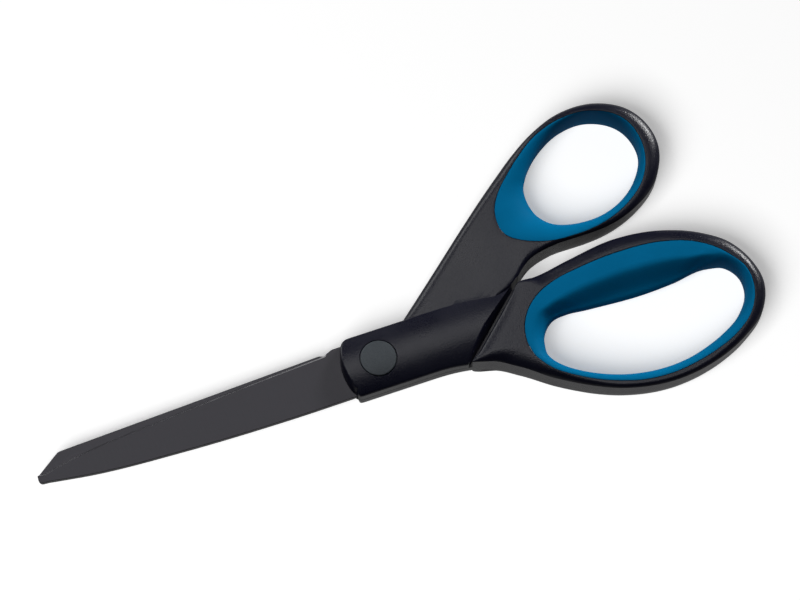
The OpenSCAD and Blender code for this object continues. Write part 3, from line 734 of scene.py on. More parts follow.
@dataclass
class HalfRound:
    """Half of the hub over or under the pivot: a long half round form with a sloped front.

    The plan is drawn along the hub's own direction and turned at the end. The surface is
    crest - (r - sqrt(r^2 - y^2)), the front leans back from an arc, and both meet in a small fillet.
    """

    layout: Layout
    half_width: float
    front: float
    crest: float
    flat_top: float = 99.0
    crown_radius: float = 20.0
    front_radius: float = 17.0
    front_lean: tuple[float, float] = (0.22, 0.40)
    front_y: float = -1.4
    corner: float = 3.0
    flare_from: float = 14.0
    flare_to: float = 25.4
    flare: float = 1.25
    fillet: float = 0.5
    foot_fillet: float = 0.1
    pitch: float = 0.3
    softened: int = 3

    def surface(self, plan: Array) -> Array:
        """Height of the crown over the parting plane at plane points in the hub's own direction."""
        y = np.clip(plan[..., 1], -self.crown_radius, self.crown_radius)
        crown = self.crest - (self.crown_radius - np.sqrt(self.crown_radius**2 - y**2))
        return np.minimum(crown, self.flat_top)

    def outline(self, end: Array) -> Array:
        """The plan, anticlockwise.

        Args:
            end: the curve that ends it, from the lower side to the upper, in the part's directions.

        Returns:
            Evenly spaced points: front corner, lower side with its flare, end, upper side, front
            corner and front arc, in the hub's own direction.
        """
        w, c, r, y = self.half_width, self.corner, self.front_radius, self.front_y
        cx = r - self.front
        low = cx - math.sqrt((r - c) ** 2 - (w - c + y) ** 2)
        high = cx - math.sqrt((r - c) ** 2 - (w - c - y) ** 2)
        low_angle = math.degrees(math.atan2(c - w - y, low - cx)) % 360
        high_angle = math.degrees(math.atan2(w - c - y, high - cx)) % 360
        share = np.linspace(0, 1, 20)
        side = np.stack([mix(self.flare_from, self.flare_to, share), -w - self.flare * share**2.2], axis=-1)
        finish = turned(end, -self.layout.hub_turn)
        reached = self._crossing(side, finish)
        side = side[side[:, 0] < reached[0] - 0.3]
        finish = finish[(finish[:, 1] > reached[1] + 0.2) & (finish[:, 1] < w)]
        front = arc((cx, y), r, high_angle, low_angle, 24)[1:-1]
        return even_spacing(np.concatenate([arc((low, c - w), c, low_angle, 270), side, [reached], finish,
                                            arc((high, w - c), c, 90, high_angle), front]), self.pitch)

    @staticmethod
    def _crossing(side: Array, finish: Array) -> Array:
        """Where the flared side and the end curve come nearest to each other."""
        fine = np.stack([np.interp(np.linspace(0, 1, 400), np.linspace(0, 1, len(side)), side[:, k])
                         for k in (0, 1)], axis=-1)
        gap = np.linalg.norm(fine[:, None] - finish[None], axis=-1)
        i, j = np.unravel_index(np.argmin(gap), gap.shape)
        return (fine[i] + finish[j]) / 2

    def end_draft(self, plan: Array) -> Array:
        """How far each point of the end moves out at the parting plane: back to the straight slit line."""
        l = self.layout
        start, run, off = (turned(np.array(v), -l.hub_turn) for v in (l.slit_from, l.slit_run, l.slit_off))
        along = (plan - start) @ unit(run) / np.linalg.norm(run)
        away = (plan - start) @ off
        on_end = (along > 0) & (along < 1) & (away > -l.fit) & (away < l.slit_bulge + l.fit)
        return -off * np.where(on_end, np.clip(away, 0, l.slit_bulge), 0.0)[:, None]

    def shell(self, end: Array, sign: int, base: float) -> Shell:
        """The closed form.

        Args:
            end: see outline.
            sign: 1 for the half over the parting plane, -1 for the one under it.
            base: height of its flat inner face.

        Returns:
            Levels from the inner face up the wall, over the fillet and across the crown to a line along
            its middle.
        """
        plan = eased(self.outline(end), self.softened)
        into = inward(plan)
        on_front = ease(ramp(into[:, 0], 0.25, 0.6))
        lean = into * (on_front * np.maximum(into @ np.array(self.front_lean), 0))[:, None]
        top = self.surface(plan)
        for _ in range(6):
            top = self.surface(plan + lean * top[:, None])
        crease = plan + lean * top[:, None]
        spine_from, spine_to = -self.front + self.half_width, plan[:, 0].max() - self.half_width - 2
        spine = np.stack([np.clip(plan[:, 0], spine_from, spine_to), plan[:, 1] * 0.003], axis=-1)
        draft = self.end_draft(plan)
        foot = plan + draft
        levels = [lift(mix(foot, spine, s), 0.0) for s in (0.9, 0.5, 0.12)]
        levels.append(lift(foot + into * self.foot_fillet, 0.0))
        for share in (0.02, 0.3, 0.65, 0.97):
            z = mix(self.foot_fillet, top - self.fillet, share)
            levels.append(lift(plan + lean * z[:, None] + draft * (1 - share), z))
        for a in np.linspace(0.15, math.pi / 2, ROLL_LEVELS):
            p = crease + into * self.fillet * (1 - math.cos(a))
            levels.append(lift(p, self.surface(p) - self.fillet * (1 - math.sin(a))))
        for share in np.linspace(0, 1, 26)[1:]:
            p = mix(crease + into * self.fillet, spine, share)
            levels.append(lift(p, self.surface(p)))
        solid = np.stack(levels)
        solid[..., :2] = turned(solid[..., :2], self.layout.hub_turn)
        solid[..., 2] = base + sign * solid[..., 2]
        return stacked(solid)


# ---- blades ----


@dataclass
class Blade:
    """A flat steel blade with a ground cutting edge, a fine chamfer along its spine and a tang.

    Attributes:
        inner: height of the face that meets the other blade.
        side: 1 where the blade lies over that face, -1 where it lies under it.
        root_radius: radius of the round end about the pivot.
        tang_angle: direction of the tang.
        hole_radius: radius of the hole for the screw or the bush.
        spine, edge: half widths at the back and at the cutting edge.
        edge_sign: 1 where the cutting edge lies on the thumb's side, else -1.
        edge_below: how far under the tip's middle the line between back and edge starts.
        tip_bare: length from the tip without ground bevel.
    """

    layout: Layout
    inner: float
    side: int
    root_radius: float
    tang_angle: float
    hole_radius: float
    spine: float
    edge: float
    tip_radius: float
    edge_sign: int
    edge_below: float
    tip_bare: float
    length: float = 100.6
    tip_y: float = 2.2
    heel: float = 11.1
    ground_width: float = 0.9
    land: float = 0.1
    chamfer: float = 0.12
    pitch: float = 0.35

    @property
    def edge_from(self) -> float:
        """Distance from the pivot at which the ground edge starts, just past the heel."""
        return 1.14 * self.heel

    def edge_and_rib(self) -> Array:
        """The blade's outline from the heel or pivot round the tip and back, without its root."""
        raise NotImplementedError

    def root(self) -> Array:
        """The round end about the pivot with the tang, from the blade's upper side to its lower one."""
        half = math.degrees(math.asin(self.layout.tang_width / 2 / self.root_radius))
        w, l = self.layout.tang_width / 2, self.layout.tang_length
        tang = turned(np.array([[l, w], [l, -w]]), self.tang_angle)
        return np.concatenate([arc((0, 0), self.root_radius, 90, self.tang_angle + half), tang,
                               arc((0, 0), self.root_radius, self.tang_angle - half, -90)])

    def outline(self) -> tuple[Array, Array]:
        """The plan at an even pitch, and the share of the ground bevel at each of its points."""
        plan = even_spacing(np.concatenate([self.edge_and_rib(), self.root()]), self.pitch)[::-1]
        middle = np.interp(plan[:, 0], [-self.length, 0], [self.tip_y - self.edge_below, 0])
        share = ramp(-plan[:, 0], self.edge_from, 0.8) * ramp(plan[:, 0], self.tip_bare - self.length, 1.5)
        return plan, np.where(self.edge_sign * (plan[:, 1] - middle) > 0, share, 0.0)

    def shell(self, plan: Array, ground: Array) -> Shell:
        """The closed blade.

        Args:
            plan: the outline, anticlockwise, evenly spaced.
            ground: share of the ground bevel at each point, 1 along the cutting edge.

        Returns:
            Levels from the inner face up the wall, over the chamfer or the ground bevel and across.
        """
        into = inward(plan)
        thick = self.layout.blade
        top = thick - self.chamfer
        fine = np.where(ground > 0.5, 0.0, self.chamfer)
        bevel = np.maximum(self.ground_width * ground, self.chamfer)[:, None]
        start = np.where(ground > 0.02, self.land + (top - self.land) * (1 - ground), top)
        solid = np.stack([lift(plan + into * 0.3, 0.0), lift(plan + into * (fine + 0.05)[:, None] * 0.5, 0.0),
                          lift(plan, fine * 0.5), lift(plan, start), lift(plan + into * bevel, thick),
                          lift(plan + into * (bevel + 0.25), thick)])
        solid[..., 2] = self.inner + self.side * solid[..., 2]
        return stacked(solid)


@dataclass
class UpperBlade(Blade):
    """The blade on top, whose cutting edge faces the thumb's side."""

    ricasso: float = 0.5

    def edge_and_rib(self) -> Array:
        """The back through five points, the tip's arc, and the cutting edge to its heel."""
        l, s, e, y, r = self.length, self.spine, self.edge, self.tip_y, self.tip_radius
        rib = smooth_line(np.array([[0, -s], [-0.3 * l, -0.883 * s], [-0.6 * l, -0.63 * s],
                                    [-0.85 * l, -0.28 * s], [-0.975 * l, y - 0.26 * s]]), BLADE_STEPS)
        edge = smooth_line(np.array([[-l + 0.08 * r, y + 0.46 * r], [-0.9 * l, mix(y, e, 0.44)],
                                     [-0.6 * l, mix(y, e, 0.78)], [-0.3 * l, e - self.ricasso / 2],
                                     [-self.edge_from, e]]), BLADE_STEPS)
        tip = arc((-l + r, y - 0.46 * r), r, 250, 160)
        return np.concatenate([rib, tip, edge, [[-self.heel, e + self.ricasso]]])


@dataclass
class LowerBlade(Blade):
    """The blade below, with the slanted tip, whose spine shows past the upper blade's edge."""

    slant: float = 7.6

    def edge_and_rib(self) -> Array:
        """The cutting edge from the pivot, the tip's arc, the slanted tip and the straight spine."""
        l, s, e, y, r = self.length, self.spine, self.edge, self.tip_y, self.tip_radius
        edge = smooth_line(np.array([[0, -e], [-0.3 * l, -0.87 * e], [-0.6 * l, -0.6 * e], [-0.9 * l, 0],
                                     [-l + 0.67 * r, y - 0.67 * r]]), BLADE_STEPS)
        tip = arc((-l + r, y + r / 3), r, 240, 140)
        return np.concatenate([edge, tip, [[-l + self.slant, 0.987 * s], [-l + 1.13 * self.slant, s],
                                           [-1.35 * self.heel, s], [-1.09 * self.heel, 0.97 * e]]])

    def outline(self) -> tuple[Array, Array]:
        """The plan with its corners softened, and the share of the ground bevel."""
        plan, ground = super().outline()
        return eased(plan, 1), ground


# ---- shader nodes ----


Socket = bpy.types.NodeSocket
Value = Socket | float | tuple


class Tree:
    """A node tree with short calls for adding and joining nodes."""

    def __init__(self, tree: bpy.types.NodeTree) -> None:
        """Keep the tree."""
        self.tree = tree

    def feed(self, target: Socket, value: Value) -> None:
        """Join an output to an input, or set the input's constant."""
        if isinstance(value, bpy.types.NodeSocket):
            self.tree.links.new(value, target)
        else:
            target.default_value = value

    def add(self, kind: str, inputs: dict[str | int, Value] | None = None,
            **settings: object) -> bpy.types.Node:
        """Add a node, set its attributes and feed its inputs."""
        node = self.tree.nodes.new(kind)
        for key, value in settings.items():
            setattr(node, key, value)
        for key, value in (inputs or {}).items():
            self.feed(node.inputs[key], value)
        return node

    def noise(self, vector: Socket, scale: Value, detail: float = 2.0, rough: float = 0.5) -> Socket:
        """The value of a noise pattern."""
        return self.add("ShaderNodeTexNoise", {"Vector": vector, "Scale": scale, "Detail": detail,
                                               "Roughness": rough}).outputs["Fac"]

    def math(self, operation: str, *values: Value) -> Socket:
        """The result of a sum on sockets or numbers."""
        return self.add("ShaderNodeMath", dict(enumerate(values)), operation=operation).outputs["Value"]

    def weighted(self, a: Socket, a_share: float, b: Socket, b_share: float) -> Socket:
        """The sum of two values, each times its share."""
        return self.math("ADD", self.math("MULTIPLY", a, a_share), self.math("MULTIPLY", b, b_share))

    def remap(self, value: Socket, low: float, high: float, to_low: float = 0.0,
              to_high: float = 1.0) -> Socket:
        """A value stretched from one range to another and held there."""
        return self.add("ShaderNodeMapRange", {"Value": value, "From Min": low, "From Max": high,
                                               "To Min": to_low, "To Max": to_high}).outputs["Result"]

    def blend(self, mask: Socket, a: Sequence[float], b: Sequence[float]) -> Socket:
        """Two colours mixed by a mask."""
        return self.add("ShaderNodeMix", {0: mask, 6: (*a, 1), 7: (*b, 1)}, data_type="RGBA").outputs[2]


class Group(Tree):
    """A node group with a vector input, named numbers in and named values out."""

    def __init__(self, name: str, inputs: dict[str, float], outputs: Iterable[str]) -> None:
        """Make the group.

        Args:
            name: the group's name.
            inputs: numbers by socket name, with their usual values.
            outputs: names of the values it gives.
        """
        super().__init__(bpy.data.node_groups.new(name, "ShaderNodeTree"))
        face = self.tree.interface
        face.new_socket("Vector", in_out="INPUT", socket_type="NodeSocketVector")
        for key, value in inputs.items():
            face.new_socket(key, in_out="INPUT", socket_type="NodeSocketFloat").default_value = value
        for key in outputs:
            face.new_socket(key, in_out="OUTPUT", socket_type="NodeSocketFloat")
        self.inside = self.add("NodeGroupInput").outputs
        self.out = self.add("NodeGroupOutput").inputs

    def per_metre(self, key: str) -> Socket:
        """A count a millimetre as a count a metre."""
        return self.math("MULTIPLY", self.inside[key], 1 / MM)


class Effects:
    """The shader node groups that the finishes share, each built once."""

    def __init__(self) -> None:
        """Build the groups."""
        self.moulding = self._moulding()
        self.handling = self._handling()
        self.grinding = self._grinding()

    @staticmethod
    def _moulding() -> bpy.types.NodeTree:
        """Spark grain of a mould: rounded grains of one size on a finer, lower one."""
        group = Group("moulding_grain", {"Lines per mm": 3.0}, ["Height", "Mask"])
        scale, place = group.per_metre("Lines per mm"), group.inside["Vector"]
        cells = group.add("ShaderNodeTexVoronoi", {"Smoothness": 0.6, "Vector": place, "Scale": scale},
                          feature="SMOOTH_F1").outputs["Distance"]
        fine = group.noise(place, group.math("MULTIPLY", scale, 1.7), 1.0)
        group.feed(group.out["Height"], group.weighted(cells, -0.7, fine, 0.6))
        group.feed(group.out["Mask"], group.remap(fine, 0.35, 0.7))
        return group.tree

    @staticmethod
    def _handling() -> bpy.types.NodeTree:
        """Soft patches left by handling, from broad clouds."""
        group = Group("handling_marks", {"Patch per mm": 0.08}, ["Cloud"])
        cloud = group.noise(group.inside["Vector"], group.per_metre("Patch per mm"), 3.0)
        group.feed(group.out["Cloud"], group.remap(cloud, 0.35, 0.65))
        return group.tree

    @staticmethod
    def _grinding() -> bpy.types.NodeTree:
        """Grinding lines across a blade: noise drawn out along Y and Z by the ratio of its scales."""
        group = Group("grinding_lines", {"Lines per mm": 4.0, "Draw": 40.0}, ["Height", "Mask"])
        apart = group.add("ShaderNodeSeparateXYZ", {"Vector": group.inside["Vector"]}).outputs
        drawn = {key: group.math("DIVIDE", apart[key], group.inside["Draw"]) for key in "YZ"}
        place = group.add("ShaderNodeCombineXYZ", {"X": apart["X"], **drawn}).outputs["Vector"]
        lines = group.noise(place, group.per_metre("Lines per mm"), 4.0, 0.65)
        group.feed(group.out["Height"], lines)
        group.feed(group.out["Mask"], group.remap(lines, 0.3, 0.7))
        return group.tree


@dataclass(frozen=True)
class Finish:
    """A procedural material: a base that varies a little, and the effect that shapes its light.

    Attributes:
        name: the material's name.
        low, high: the darker and the lighter colour, linear.
        rough: lowest and highest roughness.
        bump: height of the fine relief in millimetres.
        detail: the relief's lines or grains a millimetre.
        metal: metallic share.
        specular: the shader's specular level.
    """

    name: str
    low: tuple[float, float, float]
    high: tuple[float, float, float]
    rough: tuple[float, float]
    bump: float
    detail: float
    metal: float = 0.0
    specular: float = 0.5

    def relief(self, effects: Effects) -> bpy.types.NodeTree:
        """The group that shapes the fine relief."""
        return effects.moulding

    def material(self, effects: Effects) -> bpy.types.Material:
        """Build the material.

        Args:
            effects: the shared groups.

        Returns:
            A Principled material. Colour and roughness follow the clouds and the relief's mask, and the
            relief feeds a bump.
        """
        made = bpy.data.materials.new(self.name)
        made.use_nodes = True
        tree = Tree(made.node_tree)
        place = tree.add("ShaderNodeTexCoord").outputs["Object"]
        cloud = tree.add("ShaderNodeGroup", {"Vector": place}, node_tree=effects.handling).outputs["Cloud"]
        relief = tree.add("ShaderNodeGroup", node_tree=self.relief(effects))
        tree.feed(relief.inputs["Vector"], place)
        tree.feed(relief.inputs["Lines per mm"], self.detail)
        mask = relief.outputs["Mask"]
        bump = tree.add("ShaderNodeBump", {"Distance": self.bump * MM, "Strength": 1.0,
                                           "Height": relief.outputs["Height"]})
        shader = {"Base Color": tree.blend(tree.weighted(cloud, 0.6, mask, 0.4), self.low, self.high),
                  "Roughness": tree.remap(tree.weighted(cloud, 0.5, mask, 0.5), 0.0, 1.0, *self.rough),
                  "Normal": bump.outputs["Normal"], "Metallic": self.metal,
                  "Specular IOR Level": self.specular}
        for key, value in shader.items():
            tree.feed(made.node_tree.nodes["Principled BSDF"].inputs[key], value)
        return made


@dataclass(frozen=True)
class GroundFinish(Finish):
    """A steel finish whose relief is grinding lines across the blade."""

    def relief(self, effects: Effects) -> bpy.types.NodeTree:
        """The grinding group."""
        return effects.grinding


HARD_PLASTIC = Finish("hard_black_plastic", (0.0025, 0.0028, 0.0085), (0.005, 0.0054, 0.012),
                      rough=(0.26, 0.36), bump=0.048, detail=2.4, specular=0.22)
CAP_PLASTIC = Finish("cap_black_plastic", (0.020, 0.025, 0.030), (0.038, 0.046, 0.054),
                     rough=(0.4, 0.55), bump=0.05, detail=2.2, specular=0.2)
SOFT_RUBBER = Finish("soft_blue_rubber", (0.0, 0.094, 0.208), (0.0004, 0.106, 0.236),
                     rough=(0.5, 0.6), bump=0.008, detail=4.0, specular=0.01)
COATED = GroundFinish("coated_blade_steel", (0.025, 0.024, 0.029), (0.032, 0.031, 0.037),
                      rough=(0.34, 0.44), bump=0.003, detail=3.0, metal=0.2, specular=0.14)
GROUND = GroundFinish("ground_edge_steel", (0.42, 0.42, 0.44), (0.62, 0.62, 0.64),
                      rough=(0.16, 0.32), bump=0.004, detail=7.0, metal=1.0)
BRIGHT = GroundFinish("bright_turned_steel", (0.50, 0.50, 0.51), (0.62, 0.62, 0.63),
                      rough=(0.2, 0.34), bump=0.004, detail=5.0, metal=1.0)
NYLON = Finish("nylon_bush", (0.62, 0.60, 0.55), (0.70, 0.68, 0.63),
               rough=(0.35, 0.5), bump=0.01, detail=2.5)


class Workshop:
    """Makes pieces and dresses them."""

    def __init__(self) -> None:
        """Build the shared effects and keep the materials by finish."""
        self.effects = Effects()
        self.made: dict[str, bpy.types.Material] = {}

    def material(self, finish: Finish) -> bpy.types.Material:
        """The finish's material, built once."""
        if finish.name not in self.made:
            self.made[finish.name] = finish.material(self.effects)
        return self.made[finish.name]

    def piece(self, name: str, shell: Shell, *finishes: Finish) -> bpy.types.Object:
        """An object from a shell with its materials in order."""
        made = new_object(name, shell.mesh(name))
        for finish in finishes:
            made.data.materials.append(self.material(finish))
        return made

    @staticmethod
    def install(piece: bpy.types.Object, crease: float, body: Body, node: str,
                slot: Slot) -> bpy.types.Object:
        """Shade a piece and tie it to the rest.

        Args:
            piece: the finished piece.
            crease: angle in degrees from which an edge stays sharp.
            body: the half that it rides on.
            node: the CAD node that it stands for.
            slot: the record's slot; not used.

        Returns:
            The piece.
        """
        shade(piece, crease)
        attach(piece, body.value)
        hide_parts(node)
        LOG.info("%s: %d faces, rides on %s", piece.name, len(piece.data.polygons), body.value)
        return piece

    def dress_hardware(self, nodes: dict[str, bpy.types.Object]) -> None:
        """Give the pivot's screw, nut, washer and bush their materials."""
        for name, finish in (("pivot_screw", BRIGHT), ("pivot_nut", BRIGHT), ("spring_washer", BRIGHT),
                             ("pivot_bush", NYLON)):
            for slot in nodes[name].material_slots:
                slot.material = self.material(finish)
            LOG.info("%s: CAD node with %s", name, finish.name)


# ---- sub-assemblies ----


@dataclass
class Half:
    """One half of the scissors: a blade, a handle with its lining, and a cap over the pivot.

    Attributes:
        room_front: how far in front of the pivot the room for the blade's root runs out.
        drill_reach: how far the drill reaches past the blade's inner face, both ways.
        body: the half's body.
        digit: what its handle is named after.
        level: what its blade and cap are named after.
    """

    shop: Workshop
    layout: Layout
    room_front: float = 13.1
    drill_reach: float = 3.0
    body = Body.FINGER
    digit = "finger"
    level = "lower"

    def bow(self) -> Bow:
        """The half's bow."""
        raise NotImplementedError

    def blade_form(self) -> Blade:
        """The half's blade."""
        raise NotImplementedError

    def cap_form(self) -> Shell:
        """The half's cap."""
        raise NotImplementedError

    def shape_handle(self, piece: bpy.types.Object) -> None:
        """Join the hub to the bow and take out the rooms of what sits inside."""
        raise NotImplementedError

    def build(self) -> list[bpy.types.Object]:
        """Build the half's pieces."""
        return [self.blade(), self.handle(), self.lining(), self.cap()]

    def handle(self) -> bpy.types.Object:
        """The hard moulding."""
        piece = self.shop.piece(f"{self.digit}_handle_moulding", self.bow().hard_part(), HARD_PLASTIC)
        self.shape_handle(piece)
        return self.shop.install(piece, HARD_CREASE, self.body, f"{self.digit}_handle", Slot.HARD)

    def lining(self) -> bpy.types.Object:
        """The soft lining of the bow."""
        piece = self.shop.piece(f"{self.digit}_lining_roll", self.bow().soft_part(), SOFT_RUBBER)
        return self.shop.install(piece, SOFT_CREASE, self.body, f"{self.digit}_lining", Slot.SOFT)

    def cap(self) -> bpy.types.Object:
        """The cover cap."""
        piece = self.shop.piece(f"{self.level}_cap_disc", self.cap_form(), CAP_PLASTIC)
        return self.shop.install(piece, HARD_CREASE, self.body, f"{self.level}_cap", Slot.HARD)

    def blade(self) -> bpy.types.Object:
        """The blade, drilled, with bare steel on its ground bevel."""
        form = self.blade_form()
        plan, ground = form.outline()
        shell = form.shell(plan, ground)
        piece = self.shop.piece(f"{self.level}_blade_ground", shell, COATED, GROUND)
        count = len(plan)
        bevel = np.zeros(len(shell.quads) + len(shell.lids), dtype=np.int32)
        bevel[3 * count:4 * count] = ground > 0.3
        piece.data.polygons.foreach_set("material_index", bevel)
        drill = circle(form.hole_radius, DRILL_ROUND)
        carve(piece, Cut.REMOVE, prism(drill, form.inner - self.drill_reach, form.inner + self.drill_reach))
        return self.shop.install(piece, STEEL_CREASE, self.body, f"{self.level}_blade", Slot.STEEL)

    def blade_rooms(self, low: float, high: float, angle: float, bottom: float, top: float) -> list[Shell]:
        """The rooms for the blade's root in the moulding.

        Args:
            low: half width below the axis.
            high: half width above it.
            angle: the tang's direction.
            bottom: lowest height.
            top: highest height.

        Returns:
            A slab open at the front, a round about the pivot and a bar along the tang.
        """
        f, front = self.layout.fit, -self.room_front
        slab = np.array([[front, -low - f], [0, -low - f], [0, high + f], [front, high + f]])
        w, l = self.layout.tang_width / 2 + f, self.layout.tang_length + f
        bar = turned(np.array([[0, -w], [l, -w], [l, w], [0, w]]), angle)
        return [prism(slab, bottom, top), prism(circle(min(low, high) + f, ROUND), bottom - HAIR, top),
                prism(bar, bottom + HAIR, top)]


@dataclass
class ThumbHalf(Half):
    """The half that turns: upper blade, thumb handle with its barrel, lining and upper cap."""

    barrel_width: float = 8.75
    barrel_over: float = 0.02
    hub_swing: float = 14.22
    root_low: float = 7.7
    root_high: float = 7.9
    clear: float = 31.0
    cap_floor: float = 9.44
    cap_crown: float = 30.0
    cap_round: float = 0.22
    body = Body.THUMB
    digit = "thumb"
    level = "upper"

    def bow(self) -> ThumbBow:
        """The thumb's bow."""
        return ThumbBow(self.layout, centre=(74.0, 32.3), hole_size=(35.4, 29.2), lining_width=1.9,
                        pad_width=9.2, rim_width=0.8, rim_extra=3.0, table=THUMB_TABLE)

    def blade_form(self) -> UpperBlade:
        """The upper blade."""
        l = self.layout
        return UpperBlade(l, inner=l.mid + l.blade_gap / 2, side=1, root_radius=self.root_low,
                          tang_angle=l.upper_tang, hole_radius=3.3, spine=7.7, edge=7.4, tip_radius=1.3,
                          edge_sign=1, edge_below=0.2, tip_bare=0.4)

    def barrel(self) -> HalfRound:
        """The barrel over the pivot."""
        l = self.layout
        return HalfRound(l, half_width=self.barrel_width, front=l.barrel_front, crest=l.mid)

    def lower_rooms(self) -> list[Shell]:
        """The room under the parting plane that the lower hub swings through."""
        l = self.layout
        top = l.mid + l.blade_gap / 2
        run = l.slit_to[0] + 2 * l.slit_gap
        side = l.hub_width + l.swing_gap
        deep = 3 * l.slit_from[1]
        slab = turned(np.array([[0, deep], [run, deep], [run, side], [0, side]]), l.hub_turn)
        return [prism(circle(self.hub_swing, SWING_ROUND), UNDER, top),
                prism(slab, UNDER - 10 * HAIR, top + HAIR)]

    def shape_handle(self, piece: bpy.types.Object) -> None:
        """Take out the hub's room and what lies past the slit, join the barrel, make the pivot's rooms."""
        l = self.layout
        gap, clear = l.slit_gap, self.clear
        beyond = np.concatenate([l.barrel_end(-0.1, 1.0), l.slit_to + np.array([[gap, -gap], [gap, -clear]]),
                                 [np.subtract(l.slit_from, [4 * gap, clear])]])
        carve(piece, Cut.REMOVE, *self.lower_rooms(), prism(beyond, UNDER, l.height + 1))
        carve(piece, Cut.JOIN, self.barrel().shell(l.barrel_end(*END_REACH), 1, l.mid + self.barrel_over))
        top = l.mid + l.blade_gap / 2 + l.blade + l.fit
        rooms = self.blade_rooms(self.root_low, self.root_high, l.upper_tang, l.mid - 1, top)
        carve(piece, Cut.REMOVE, self.well(), *rooms)

    def well(self) -> Shell:
        """The recess for the screw's head and the cap, flared by a hair where it meets the barrel."""
        l, floor, ray = self.layout, self.cap_floor, circle(1.0, FINE_ROUND)
        r, w, flare = l.cap_radius + l.cap_gap, l.well_radius, 0.14
        surface = self.barrel().surface

        def rim(radius: float, over: float) -> Array:
            """A circle that follows the barrel's crown at a height over it."""
            return lift(ray * radius, l.mid + surface(turned(ray * radius, -l.hub_turn)) + over)

        return stacked([lift(ray * w, l.mid - 1), lift(ray * w, floor), lift(ray * (r - HAIR), floor),
                        rim(r, -0.12), rim(r + flare, 0.04), rim(r + flare, 2.0)])

    def cap_form(self) -> Shell:
        """A shallow crown that follows the barrel a little flatter, with a rolled edge."""
        l, floor, ray = self.layout, self.cap_floor, circle(1.0, FINE_ROUND)
        r, top = l.cap_radius, l.height - 0.1

        def crown(radius: float, under: float = 0.0) -> Array:
            """A level on a cylinder of the cap's own crown radius, along the barrel."""
            y = turned(ray * radius, -l.hub_turn)[:, 1]
            return lift(ray * radius, top - (self.cap_crown - np.sqrt(self.cap_crown**2 - y**2)) - under)

        levels = [lift(ray * 0.2, floor), lift(ray * (r - 0.4), floor), lift(ray * (r - 0.1), floor),
                  lift(ray * r, floor + 0.1)]
        levels += [crown(r - self.cap_round * (1 - math.cos(a)), self.cap_round * (1 - math.sin(a)))
                   for a in np.linspace(0, math.pi / 2, ROLL_LEVELS)]
        return stacked(levels + [crown(s) for s in np.linspace(r - 0.35, 0.02, 16)])


@dataclass
class FingerHalf(Half):
    """The half that stays: lower blade, finger handle with its hub, lining, lower cap and the hardware."""

    hub_front: float = 10.95
    hub_lift: float = 0.2
    cap_dip: float = 0.66
    root: float = 7.0
    cap_round: float = 0.2
    nut_across: float = 7.0

    def bow(self) -> FingerBow:
        """The fingers' bow."""
        return FingerBow(self.layout, centre=(75.0, -17.0), hole_size=(59.0, 26.0), lining_width=2.4,
                         pad_width=9.8, rim_width=1.5, rim_extra=2.5, table=FINGER_TABLE, dish=0.7,
                         core_back=2.9)

    def blade_form(self) -> LowerBlade:
        """The lower blade."""
        l = self.layout
        return LowerBlade(l, inner=l.mid - l.blade_gap / 2, side=-1, root_radius=self.root,
                          tang_angle=l.lower_tang, hole_radius=2.55, spine=7.9, edge=7.0, tip_radius=0.9,
                          edge_sign=-1, edge_below=0.4, tip_bare=0.8)

    def shape_handle(self, piece: bpy.types.Object) -> None:
        """Join the lower hub, and make the rooms of the blade's root, the nut and the cap."""
        l = self.layout
        low = l.mid - l.blade_gap / 2
        depth = low - self.hub_lift
        hub = HalfRound(l, half_width=l.hub_width, front=self.hub_front, crest=depth + self.cap_dip,
                        flat_top=depth)
        carve(piece, Cut.JOIN, hub.shell(l.barrel_end(*END_REACH) - l.slit_off * 2 * l.slit_gap, -1, low))
        hexagon = circle(self.nut_across / math.sqrt(3) + l.fit, 6)
        bottom = low - l.blade - l.fit
        carve(piece, Cut.REMOVE, *self.blade_rooms(self.root, self.root, l.lower_tang, bottom, low + l.fit),
              prism(hexagon, UNDER, l.mid), prism(circle(l.cap_radius + l.fit, ROUND), UNDER, l.cap_thick))

    def cap_form(self) -> Shell:
        """A flat disc with rolled edges."""
        r, thick, ray = self.layout.cap_radius, self.layout.cap_thick, circle(1.0, FINE_ROUND)
        levels = [lift(ray * s, 0.0) for s in (0.02, 2.0, 4.0, 4.7)]
        levels += [lift(ray * (r - self.cap_round * (1 - math.sin(a))), self.cap_round * (1 - math.cos(a)))
                   for a in np.linspace(0, math.pi / 2, ROLL_LEVELS)]
        return stacked(levels + [lift(ray * r, thick - 0.05), lift(ray * (r - 0.05), thick),
                                 lift(ray * 0.5, thick)])


# ---- the studio ----


